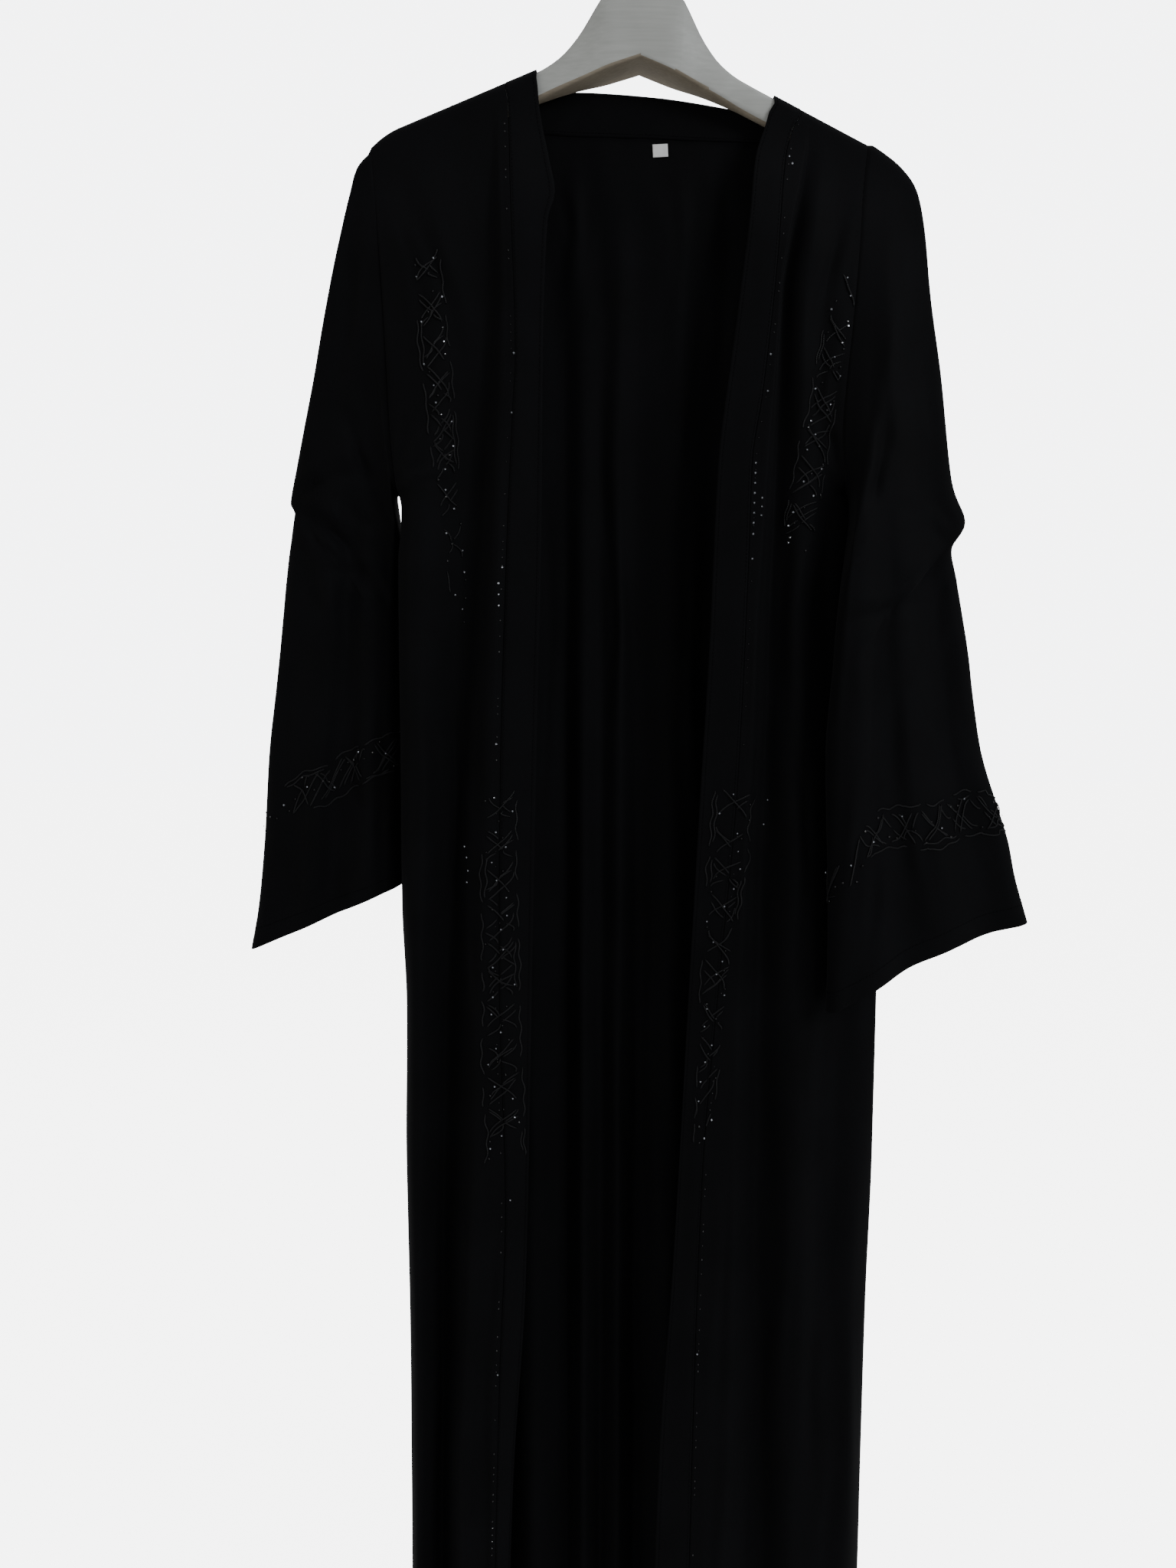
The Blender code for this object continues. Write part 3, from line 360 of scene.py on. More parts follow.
RIGHT_SLEEVE_CREASES = (
    Crease(((258, -492), (240, -500), (216, -522), (196, -552)), 6.0, 3.4),
    Crease(((260, -488), (244, -470), (226, -462), (206, -464)), 6.0, 2.6),
    Crease(((262, -500), (250, -526), (240, -566), (236, -610)), 6.5, -2.6),
    Crease(((168, -500), (180, -470), (190, -430), (196, -390)), 6.0, 2.6),
    Crease(((160, -560), (184, -548), (212, -540), (240, -530)), 6.0, 2.2),
    Crease(((200, -216), (196, -280), (198, -350), (206, -410)), 7.0, -2.6),
    Crease(((222, -226), (218, -290), (222, -360), (234, -420)), 7.0, 2.2),
    Crease(((176, -300), (182, -350), (178, -410)), 6.0, 1.8),
    Crease(((270, -570), (264, -630), (274, -690), (290, -740)), 8.0, 2.2),
    Crease(((190, -600), (188, -680), (192, -760), (188, -830)), 7.0, 2.4),
    Crease(((218, -620), (220, -690), (228, -750), (240, -800)), 8.0, -2.4),
    Crease(((166, -620), (170, -700), (168, -780), (172, -850)), 6.0, -1.8),
    Crease(((250, -640), (256, -700), (270, -760), (288, -800)), 8.0, 2.0),
)


class Side(Enum):
    """The side of the garment that a surface faces."""

    FRONT = -1.0
    BACK = 1.0


class RowKind(Enum):
    """The part of a panel that one of its rows crosses."""

    WRAP = "over the arm, at an angle"
    CHEST = "beside the armhole, at a share of its height"
    SKIRT = "below the underarm, at a height"


@dataclass(frozen=True)
class Row:
    """One row across a panel."""

    kind: RowKind
    value: float


def eased(t: float) -> float:
    """Step smoothly from 0 to 1.

    Args:
        t: How far along, held to 0 and 1 outside.

    Returns:
        The eased value.
    """
    t = min(max(t, 0.0), 1.0)
    return t * t * (3.0 - 2.0 * t)


def through(keys: Sequence[float], values: Sequence[float], at: float) -> float:
    """Read a monotone cubic through the values, held level beyond the end keys.

    Args:
        keys: Rising or falling positions.
        values: A value at each key.
        at: Where to read.

    Returns:
        The value there.
    """
    if keys[0] > keys[-1]:
        keys, values = keys[::-1], values[::-1]
    if at <= keys[0]:
        return float(values[0])
    if at >= keys[-1]:
        return float(values[-1])
    cell = 0
    while keys[cell + 1] < at:
        cell += 1

    def slope(index: int) -> float:
        """Slope of one cell.

        Args:
            index: The cell.

        Returns:
            Its slope.
        """
        return (values[index + 1] - values[index]) / (keys[index + 1] - keys[index])

    def tangent(index: int) -> float:
        """Tangent at a key, flat where the slopes change sign.

        Args:
            index: The key.

        Returns:
            Its tangent.
        """
        if index == 0:
            return slope(0)
        if index == len(keys) - 1:
            return slope(len(keys) - 2)
        before, after = slope(index - 1), slope(index)
        return 2.0 * before * after / (before + after) if before * after > 0 else 0.0

    rise = keys[cell + 1] - keys[cell]
    t = (at - keys[cell]) / rise
    return float(
        (2 * t**3 - 3 * t**2 + 1) * values[cell]
        + (t**3 - 2 * t**2 + t) * rise * tangent(cell)
        + (3 * t**2 - 2 * t**3) * values[cell + 1]
        + (t**3 - t**2) * rise * tangent(cell + 1)
    )


def along(table: Sequence[Flat], at: float) -> float:
    """Read a two-column table.

    Args:
        table: Rows of key and value.
        at: The key.

    Returns:
        The value there.
    """
    return through([row[0] for row in table], [row[1] for row in table], at)


def mix(start: Sequence[float], end: Sequence[float], share: float) -> Point:
    """Go straight from one point to another.

    Args:
        start: The first point.
        end: The second point.
        share: How far along.

    Returns:
        The point between.
    """
    return tuple(a + (b - a) * share for a, b in zip(start, end))


def rolled(x: float, z: float) -> Flat:
    """Roll a point of the level hanger.

    Args:
        x: Its x.
        z: Its height.

    Returns:
        The rolled x and height.
    """
    return (
        x * math.cos(ROLL) + (z - PIVOT_Z) * math.sin(ROLL),
        PIVOT_Z + (z - PIVOT_Z) * math.cos(ROLL) - x * math.sin(ROLL),
    )


def hanger_top(x: float) -> float:
    """Find the height of the level hanger's upper side.

    Args:
        x: Where along it.

    Returns:
        The height.
    """
    reach = abs(x)
    if reach <= ARM_START:
        return along(SHOULDER_TOP, reach)
    droop = max(0.0, reach - ARM_DROOP_FROM) ** 2 / ARM_DROOP
    return SHOULDER_TOP[-1][1] - ARM_SLOPE * (reach - ARM_START) - droop


ARM_TOP = [rolled(x, hanger_top(x)) for x in np.linspace(-ARM_END, ARM_END, 109)]
ARM_TOP_X = [point[0] for point in ARM_TOP]
ARM_TOP_Z = [point[1] for point in ARM_TOP]


def wrap_centre(x: float) -> float:
    """Find the middle of the arm's rounded top, which the cloth wraps about.

    Args:
        x: Where along the arm.

    Returns:
        Its height.
    """
    if x < ARM_TOP_X[0]:
        return ARM_TOP_Z[0] - ARM_HALF - (ARM_TOP_X[0] - x) * ARM_SLOPE
    return float(np.interp(x, ARM_TOP_X, ARM_TOP_Z)) - ARM_HALF


def wrap_point(x: float, angle: float, side: Side) -> Point:
    """Place a point of the cloth over the arm.

    Args:
        x: Where along the arm.
        angle: How far round from its top, in radians.
        side: Towards the front or the back.

    Returns:
        The point.
    """
    y = side.value * (WRAP_RADIUS * math.sin(angle) + (TURNED_SEAM if angle == 0 else 0.0))
    return (x, y, wrap_centre(x) + WRAP_RADIUS * math.cos(angle))


def half_depth(down: float, up: float, out_radius: float, depth: float, in_radius: float) -> float:
    """Find the half-depth of a flattened tube.

    Args:
        down: Distance below its outer end.
        up: Distance above its inner end.
        out_radius: Radius of the outer end.
        depth: Half-depth of the middle.
        in_radius: Radius of the inner end.

    Returns:
        The half-depth.
    """
    if down < out_radius:
        value = out_radius * math.sqrt(max(0.0, 1.0 - (1.0 - down / out_radius) ** 2))
    else:
        value = out_radius + (depth - out_radius) * eased((down - out_radius) / SWELL_LENGTH)
    if up < in_radius:
        value *= math.sqrt(max(0.0, 1.0 - (1.0 - up / in_radius) ** 2))
    return value


def side_x(z: float, right: bool) -> float:
    """Find a side seam below the underarm.

    Args:
        z: The height.
        right: Whether it is the right one.

    Returns:
        Its x.
    """
    return through([row.z for row in SIDES], [row.right if right else row.left for row in SIDES], z)


def armhole_x(z: float, right: bool) -> float:
    """Find an armhole's seam.

    Args:
        z: The height.
        right: Whether it is the right one.

    Returns:
        Its x.
    """
    return along(RIGHT_ARMHOLE if right else LEFT_ARMHOLE, z)


def armhole_top(right: bool) -> float:
    """Find the height of an armhole's top.

    Args:
        right: Whether it is the right one.

    Returns:
        Its height.
    """
    return wrap_centre((RIGHT_ARMHOLE if right else LEFT_ARMHOLE)[0][1]) + WRAP_RADIUS


def edge_point(row: Row, right: bool, side: Side) -> Point:
    """Place a panel's outer edge, at the armhole or the side seam.

    Args:
        row: The row.
        right: Whether it is the right edge.
        side: The panel's side.

    Returns:
        The point.
    """
    inward = -ARMHOLE_SEAM if right else ARMHOLE_SEAM
    if row.kind is RowKind.SKIRT:
        return (side_x(row.value, right) + inward, side.value * TURNED_SEAM, row.value)
    top = armhole_top(right)
    if row.kind is RowKind.WRAP:
        z = top - WRAP_RADIUS * (1.0 - math.cos(row.value))
    else:
        start = top - WRAP_RADIUS
        z = start - row.value * (start - UNDERARM)
    depth = half_depth(top - z, z - UNDERARM, WRAP_RADIUS, ARMHOLE_DEPTH, ARMHOLE_UNDER_RADIUS)
    return (armhole_x(z, right) + inward, side.value * max(depth, TURNED_SEAM), z)


def hanging_y(values: Sequence[float], z: float, start: float, lying: float) -> float:
    """Ease from lying on the arm to a fold's own depth.

    Args:
        values: The fold's y at the four levels.
        z: The height.
        start: Where the cloth leaves the arm.
        lying: Its y there.

    Returns:
        The y at the height.
    """
    return lying + (through(LEVELS, values, z) - lying) * eased((start - z) / LEAVE)


def row_height(row: Row, start: float) -> float:
    """Find the height of a row below the arm.

    Args:
        row: The row.
        start: Where its line leaves the arm.

    Returns:
        The height.
    """
    return row.value if row.kind is RowKind.SKIRT else start - row.value * (start - UNDERARM)


def front_line(line: Line, row: Row) -> Point:
    """Place a front's fold line on a row.

    Args:
        line: The fold line.
        row: The row.

    Returns:
        The point.
    """
    if row.kind is RowKind.WRAP:
        return wrap_point(line.top, row.value, Side.FRONT)
    start = wrap_centre(line.top)
    z = row_height(row, start)
    body = through(LEVELS, (line.chest, line.waist, line.hip, line.hem), z)
    x = line.top + (body - line.top) * eased((start - z) / (start - CHEST))
    levels = (line.y_chest, line.y_waist, line.y_hip, line.y_hem)
    return (x, hanging_y(levels, z, start, -WRAP_RADIUS), z)


def band_line(table: Sequence[Flat], levels: Sequence[float], row: Row, offset: float) -> Point:
    """Place a band's seam or free edge on a row.

    Args:
        table: The line's x at heights.
        levels: Its y at the four levels.
        row: The row.
        offset: How far to shift it in x.

    Returns:
        The point.
    """
    top = table[0][1]
    if row.kind is RowKind.WRAP:
        return wrap_point(top + offset, row.value, Side.FRONT)
    start = wrap_centre(top)
    z = row_height(row, start)
    return (along(table, z) + offset, hanging_y(levels, z, start, -WRAP_RADIUS), z)


def spread(x: float, z: float) -> float:
    """Move the outer folds of the back with the side seam or the armhole.

    Args:
        x: The fold's x where the back is widest.
        z: The height.

    Returns:
        Its x there.
    """
    if abs(x) <= SPREAD_FROM:
        return x
    reach = abs(side_x(z, x > 0) if z < UNDERARM else armhole_x(z, x > 0))
    moved = SPREAD_FROM + (abs(x) - SPREAD_FROM) * (reach - SPREAD_FROM) / (SPREAD_FULL - SPREAD_FROM)
    return math.copysign(moved, x)


def neck_z(x: float) -> float:
    """Find the height of the row that carries the neck seam.

    Args:
        x: Where across the back.

    Returns:
        The height.
    """
    return float(np.interp(x, [row[0] for row in NECK_SEAM], [row[1] for row in NECK_SEAM]))


def neck_y(x: float) -> float:
    """Find how far back the neck seam lies behind the hanger.

    Args:
        x: Where across the back.

    Returns:
        Its y.
    """
    return NECK_Y + NECK_BULGE * eased((BULGE_FROM - abs(x)) / (BULGE_FROM - BULGE_FULL))


def neck_share() -> float:
    """Find the share of the armhole's height that the neck seam's row is at.

    Returns:
        The share.
    """
    length = armhole_top(False) - UNDERARM
    return MIDDLE_FIRST_SHARE * (length - WRAP_RADIUS - ARMHOLE_UNDER_RADIUS) / (length - WRAP_RADIUS)


def back_line(line: Line, row: Row) -> Point:
    """Place a fold line of the back on a row.

    Args:
        line: The fold line.
        row: The row.

    Returns:
        The point.
    """
    top = line.top + (math.copysign(FLAT_SEAM, line.top) if line.name in NECK_CORNERS else 0.0)
    if row.kind is RowKind.WRAP:
        return wrap_point(top, row.value, Side.BACK)
    neck, at_neck = neck_z(line.top), neck_share()
    if row.kind is RowKind.CHEST and row.value <= at_neck:
        start = wrap_point(top, math.pi / 2, Side.BACK)
        return mix(start, (top, neck_y(top), neck - FLAT_SEAM), row.value / at_neck)
    if row.kind is RowKind.CHEST:
        z = neck + (row.value - at_neck) / (1.0 - at_neck) * (UNDERARM - neck)
    else:
        z = row.value
    body = spread(line.chest, z)
    x = top + (body - top) * eased((neck - z) / (neck - CHEST))
    levels = (line.y_chest, line.y_waist, line.y_hip, line.y_hem)
    return (x, hanging_y(levels, z, neck, neck_y(top)), z)


def across(controls: Sequence[Point], splits: int, rounds: dict[int, str]) -> list[Point]:
    """Run a row through its control points.

    Args:
        controls: The points.
        splits: Steps between two of them.
        rounds: Segments that turn like a quarter ellipse, by "start" or "end". The rest are waves.

    Returns:
        The row's points.
    """
    points: list[Point] = []
    for index, (start, end) in enumerate(zip(controls, controls[1:])):
        for step in range(splits):
            t = step / splits
            turn = t * math.pi / 2
            share_x, share_y = t, eased(t)
            if rounds.get(index) == "start":
                share_x, share_y = 1.0 - math.cos(turn), math.sin(turn)
            elif rounds.get(index) == "end":
                share_x, share_y = math.sin(turn), 1.0 - math.cos(turn)
            points.append((
                start[0] + (end[0] - start[0]) * share_x,
                start[1] + (end[1] - start[1]) * share_y,
                start[2] + (end[2] - start[2]) * share_x,
            ))
    points.append(controls[-1])
    return points


def panel_rows(chest: int, skirt: int) -> list[Row]:
    """List the rows of a panel from the shoulder to the hem.

    Args:
        chest: Rows beside the armhole.
        skirt: Rows below it.

    Returns:
        The rows.
    """
    rows = [Row(RowKind.WRAP, math.radians(15 * step)) for step in range(7)]
    shares = [neck_share() * step / 3 for step in (1, 2, 3)]
    rest = [
        neck_share() + (1.0 - neck_share()) * (1.0 - (1.0 - step / chest) ** 1.4)
        for step in range(1, chest + 1)
    ]
    rows += [Row(RowKind.CHEST, share) for share in shares + rest]
    rows += [
        Row(RowKind.SKIRT, UNDERARM + (HEM - UNDERARM) * (step / skirt) ** 1.15)
        for step in range(1, skirt + 1)
    ]
    return rows


def crease_lift(points: np.ndarray, creases: Sequence[Crease]) -> np.ndarray:
    """Add up how far creases press a sheet inwards.

    Args:
        points: Points as x, y and z.
        creases: The creases.

    Returns:
        The depth at each point.
    """
    flat = points[..., (0, 2)]
    total = np.zeros(flat.shape[:-1])
    for number, crease in enumerate(creases):
        path = np.array(crease.path, float)
        lengths = np.hypot(*np.diff(path, axis=0).T)
        starts = np.concatenate([[0.0], np.cumsum(lengths)])
        best = np.full(total.shape, np.inf)
        place = np.zeros(total.shape)
        for index, length in enumerate(lengths):
            step = (path[index + 1] - path[index]) / length
            share = np.clip((flat - path[index]) @ step, 0.0, length)
            gap = np.hypot(*np.moveaxis(flat - path[index] - share[..., None] * step, -1, 0))
            nearer = gap < best
            best = np.where(nearer, gap, best)
            place = np.where(nearer, (starts[index] + share) / starts[-1], place)
        width = crease.width * (1.0 + 0.28 * np.sin(9.0 * place + 1.7 * number))
        taper = np.sin(np.pi * np.clip(place, 0.02, 0.98)) ** 0.55
        uneven = 1.0 + 0.25 * np.sin(15.0 * place + 2.3 * number)
        near = np.exp(-((best / width) ** 2)) - 0.32 * np.exp(-(((best - 1.9 * width) / width) ** 2))
        total += CREASE_GAIN * crease.depth * taper * uneven * near
    return total


def ripples(points: np.ndarray, seed: int, size: float) -> np.ndarray:
    """Make low, slow unevenness that runs mostly down the cloth.

    Args:
        points: Points as x, y and z.
        seed: Which pattern.
        size: Its height.

    Returns:
        The height at each point.
    """
    chance = np.random.default_rng(seed)
    total = np.zeros(points.shape[:-1])
    for _ in range(9):
        wide, tall = chance.uniform(16, 46), chance.uniform(90, 320)
        phase = chance.uniform(0, 2 * math.pi)
        total += (
            np.sin(2 * np.pi * (points[..., 0] / wide + points[..., 2] / tall) + phase)
            * chance.uniform(0.4, 1.0)
        )
    return total * size / 9


def srgb(code: str) -> tuple[float, float, float]:
    """Turn an sRGB hex colour into linear values.

    Args:
        code: Six hex digits.

    Returns:
        Linear red, green and blue.
    """
    values = [int(code[index : index + 2], 16) / 255 for index in (0, 2, 4)]
    return tuple(v / 12.92 if v <= 0.04045 else ((v + 0.055) / 1.055) ** 2.4 for v in values)


def per_mm(size: float) -> float:
    """Give the texture scale whose pattern repeats at a size.

    Args:
        size: The size in millimetres.

    Returns:
        The scale for coordinates in metres.
    """
    return 1.0 / (size * MM)


def add_node(
    tree: Any, kind: str, settings: dict[str, Any] | None = None, links: dict[Any, Any] | None = None,
) -> Any:
    """Add a node with its settings and its inputs.

    Args:
        tree: The node tree.
        kind: The node's type.
        settings: Attributes to set.
        links: Input names or numbers, each with a value or with the output that feeds it.

    Returns:
        The node.
    """
    node = tree.nodes.new(kind)
    for name, value in (settings or {}).items():
        setattr(node, name, value)
    for name, value in (links or {}).items():
        if isinstance(value, bpy.types.NodeSocket):
            tree.links.new(value, node.inputs[name])
        else:
            node.inputs[name].default_value = value
    return node


@dataclass(frozen=True)
class Finish:
    """A surface: its colour, roughness and the like, with a fine grain."""

    name: str
    colour: str
    colour_dark: str
    roughness: float
    specular: float
    grain: tuple[float, float, float]
    grain_height: float
    mottle: float
    metallic: float = 0.0
    sheen: float = 0.0
    coat: float = 0.0
    twisted: bool = False

    def material(self) -> bpy.types.Material:
        """Make the material.

        Returns:
            The material.
        """
        found = bpy.data.materials.get(self.name)
        if found:
            return found
        material = bpy.data.materials.new(self.name)
        material.use_nodes = True
        tree = material.node_tree
        shader = tree.nodes["Principled BSDF"]
        place = add_node(tree, "ShaderNodeTexCoord")
        stretch = add_node(tree, "ShaderNodeMapping", {}, {"Vector": place.outputs["Object"]})
        stretch.inputs["Scale"].default_value = tuple(per_mm(size) for size in self.grain)
        grain = add_node(
            tree, "ShaderNodeTexNoise", {}, {"Vector": stretch.outputs[0], "Scale": 1.0, "Detail": 3.0},
        )
        patch = add_node(
            tree, "ShaderNodeTexNoise", {},
            {"Vector": place.outputs["Object"], "Scale": per_mm(self.mottle), "Detail": 4.0},
        )
        both = add_node(
            tree, "ShaderNodeMath", {"operation": "ADD"}, {0: grain.outputs["Fac"], 1: patch.outputs["Fac"]},
        )
        share = add_node(
            tree, "ShaderNodeMapRange", {}, {"Value": both.outputs[0], "From Min": 0.7, "From Max": 1.3},
        )
        blend = add_node(tree, "ShaderNodeMix", {"data_type": "RGBA"}, {0: share.outputs[0]})
        blend.inputs[6].default_value = (*srgb(self.colour_dark), 1.0)
        blend.inputs[7].default_value = (*srgb(self.colour), 1.0)
        tree.links.new(blend.outputs[2], shader.inputs["Base Color"])
        height = grain.outputs["Fac"]
        if self.twisted:
            height = self.twist(tree)
        bump = add_node(
            tree, "ShaderNodeBump", {},
            {"Height": height, "Distance": self.grain_height * MM, "Strength": 1.0},
        )
        tree.links.new(bump.outputs["Normal"], shader.inputs["Normal"])
        shader.inputs["Roughness"].default_value = self.roughness
        shader.inputs["Specular IOR Level"].default_value = self.specular
        shader.inputs["Metallic"].default_value = self.metallic
        shader.inputs["Sheen Weight"].default_value = self.sheen
        shader.inputs["Sheen Roughness"].default_value = 0.45
        shader.inputs["Coat Weight"].default_value = self.coat
        shader.inputs["Coat Roughness"].default_value = 0.15
        return material

    def twist(self, tree: Any) -> Any:
        """Add the turn of a braided cord from its own length and way round.

        Args:
            tree: The node tree.

        Returns:
            The height output.
        """
        lay = add_node(tree, "ShaderNodeUVMap", {"uv_map": "cord"})
        parts = add_node(tree, "ShaderNodeSeparateXYZ", {}, {0: lay.outputs[0]})
        turns = add_node(
            tree, "ShaderNodeMath", {"operation": "MULTIPLY"},
            {0: parts.outputs[0], 1: per_mm(1.6) * 2 * math.pi},
        )
        round_it = add_node(
            tree, "ShaderNodeMath", {"operation": "MULTIPLY"}, {0: parts.outputs[1], 1: 4 * math.pi},
        )
        total = add_node(
            tree, "ShaderNodeMath", {"operation": "ADD"}, {0: turns.outputs[0], 1: round_it.outputs[0]},
        )
        return add_node(tree, "ShaderNodeMath", {"operation": "SINE"}, {0: total.outputs[0]}).outputs[0]


# Matt black crepe: fine pebbled grain, hardly any shine
CREPE = Finish("black_crepe", "0d0d0f", "09090a", 0.75, 0.06, (0.7, 0.7, 0.9), 0.05, 60.0, sheen=0.012)
# Satin black braided cord of the embroidery
CORD = Finish("black_satin_cord", "101012", "09090a", 0.42, 0.24, (0.4, 0.4, 0.4), 0.12, 20.0, twisted=True)
# Black polyester thread
THREAD = Finish("black_thread", "0d0d0f", "09090a", 0.7, 0.06, (0.3, 0.3, 0.3), 0.03, 20.0)
# Grey-white satin paint with a faint brushed streak, running along the arms
PAINT = Finish("grey_white_paint", "b4b5b0", "a6a7a2", 0.42, 0.35, (60.0, 2.0, 2.4), 0.03, 35.0)
# Darker, warmer colour on the underside: painted shade, in a bare-timber tone
UNDERSIDE_SHADE = Finish("bare_timber", "9c9280", "867c6c", 0.6, 0.25, (40.0, 1.2, 1.2), 0.05, 30.0)
# Polished steel wire
STEEL = Finish("polished_steel", "c8c8c8", "b8b8b8", 0.18, 0.5, (0.6, 0.6, 30.0), 0.004, 20.0, metallic=1.0)
# White woven polyester tag
WEAVE = Finish("white_woven_tag", "f2f2f0", "dcdcda", 0.7, 0.2, (0.5, 0.5, 0.25), 0.06, 8.0)
# Clear cut glass with a foil back, also set at the glint places as painted glints
GLASS = Finish(
    "foiled_glass", "c8cad0", "a4a8b0", 0.06, 0.8, (0.8, 0.8, 0.8), 0.0, 8.0, metallic=0.75, coat=1.0,
)
# Black cut glass
JET = Finish("black_glass", "0b0b0d", "060607", 0.08, 0.7, (0.8, 0.8, 0.8), 0.0, 8.0, coat=0.6)
# Pale matt studio floor
STUDIO = Finish("pale_floor", "fafafa", "f6f6f6", 0.9, 0.1, (5.0, 5.0, 5.0), 0.0, 900.0)


def make_mesh(
    name: str, points: np.ndarray, faces: Sequence[Sequence[int]], finish: Finish, smooth: bool,
) -> bpy.types.Object:
    """Make an object from points in millimetres.

    Args:
        name: Its name.
        points: The points.
        faces: The faces.
        finish: Its surface.
        smooth: Whether it is shaded smooth.

    Returns:
        The object.
    """
    mesh = bpy.data.meshes.new(name)
    mesh.from_pydata((np.asarray(points, float) * MM).tolist(), [], faces)
    mesh.validate()
    mesh.materials.append(finish.material())
    mesh.shade_smooth() if smooth else mesh.shade_flat()
    item = bpy.data.objects.new(name, mesh)
    bpy.context.scene.collection.objects.link(item)
    return item


def settled(item: bpy.types.Object) -> bpy.types.Object:
    """Turn an object's modifiers into a plain mesh.

    Args:
        item: The object.

    Returns:
        The same object.
    """
    bpy.context.view_layer.update()
    graph = bpy.context.evaluated_depsgraph_get()
    mesh = bpy.data.meshes.new_from_object(item.evaluated_get(graph))
    item.modifiers.clear()
    item.data = mesh
    mesh.name = item.name
    return item


@dataclass
class Sheet:
    """A sheet of cloth on a grid of rows, with its creases, its cut and what is sewn on it."""

    name: str
    node: str
    grid: np.ndarray
    side: Side
    creases: Sequence[Crease]
    seed: int
    cut: Flat
    area: float
    rests_on: tuple[str, ...]
    thickness: float = CREPE_THICKNESS
    finish: Finish = CREPE
    ring: bool = False
    absent: set[tuple[int, int]] = field(default_factory=set)
    steady_from: float = 34.0
    ripple: float = 1.1
    trims: list[bpy.types.Object] = field(default_factory=list)
    item: bpy.types.Object | None = None

    def weights(self) -> np.ndarray:
        """Say how free each point is to be creased: not at all on the arm or at a seam.

        Returns:
            A weight for each point.
        """
        across_steps = np.linalg.norm(np.diff(self.grid, axis=1), axis=-1)
        from_left = np.concatenate([np.zeros((len(self.grid), 1)), np.cumsum(across_steps, axis=1)], axis=1)
        from_right = from_left[:, -1:] - from_left
        down_steps = np.linalg.norm(np.diff(self.grid, axis=0), axis=-1)
        down = np.concatenate([np.zeros((1, self.grid.shape[1])), np.cumsum(down_steps, axis=0)], axis=0)
        free = np.clip((down - self.steady_from) / 60.0, 0.0, 1.0)
        if not self.ring:
            free = free * np.clip(np.minimum(from_left, from_right) / 9.0, 0.0, 1.0)
        return free * free * (3.0 - 2.0 * free)

    def creased(self) -> np.ndarray:
        """Press the creases and the ripples into the grid.

        Returns:
            The shaped grid.
        """
        shaped = self.grid.copy()
        free = self.weights()
        if self.ring:
            middle = shaped[..., 1].mean(axis=1, keepdims=True)
            reach = np.abs(shaped[..., 1] - middle).max(axis=1, keepdims=True)
            outward = np.clip((shaped[..., 1] - middle) / (0.7 * reach), -1.0, 1.0)
        else:
            outward = np.full(free.shape, self.side.value)
        lift = ripples(shaped, self.seed, self.ripple) - crease_lift(shaped, self.creases)
        shaped[..., 1] += outward * lift * free
        return shaped

    def build(self) -> "Sheet":
        """Returns:
            The sheet itself.
        """
        self.grid = self.creased()
        rows, columns = self.grid.shape[:2]
        spans = columns if self.ring else columns - 1
        faces = [
            (row * columns + column, row * columns + (column + 1) % columns,
             (row + 1) * columns + (column + 1) % columns, (row + 1) * columns + column)
            for row in range(rows - 1) for column in range(spans) if (row, column) not in self.absent
        ]
        used = sorted({index for face in faces for index in face})
        place = {index: number for number, index in enumerate(used)}
        points = self.grid.reshape(-1, 3)[used]
        self.item = make_mesh(
            self.name, points, [tuple(place[i] for i in face) for face in faces], self.finish, True,
        )
        wall = self.item.modifiers.new("wall", "SOLIDIFY")
        wall.thickness = self.thickness * MM
        wall.offset = 0.0
        wall.use_even_offset = False
        settled(self.item)
        self.item.data.shade_smooth()
        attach(self.item, "root")
        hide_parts(self.node)
        cells = np.cross(self.grid[1:, :-1] - self.grid[:-1, :-1], self.grid[:-1, 1:] - self.grid[:-1, :-1])
        LOG.info(
            "%s: %d faces, %.4f square metres", self.name, len(self.item.data.polygons),
            float(np.linalg.norm(cells, axis=-1).sum()) * MM * MM,
        )
        return self

    def declare(self) -> None:
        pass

    def tree(self) -> BVHTree:
        """Index the sheet's middle surface.

        Returns:
            The tree, in millimetres.
        """
        rows, columns = self.grid.shape[:2]
        spans = columns if self.ring else columns - 1
        faces = [
            (row * columns + column, row * columns + (column + 1) % columns,
             (row + 1) * columns + (column + 1) % columns, (row + 1) * columns + column)
            for row in range(rows - 1) for column in range(spans) if (row, column) not in self.absent
        ]
        return BVHTree.FromPolygons([Vector(point) for point in self.grid.reshape(-1, 3)], faces)


@dataclass(frozen=True)
class Place:
    """A point on a surface, with the way that it faces."""

    point: Vector
    normal: Vector


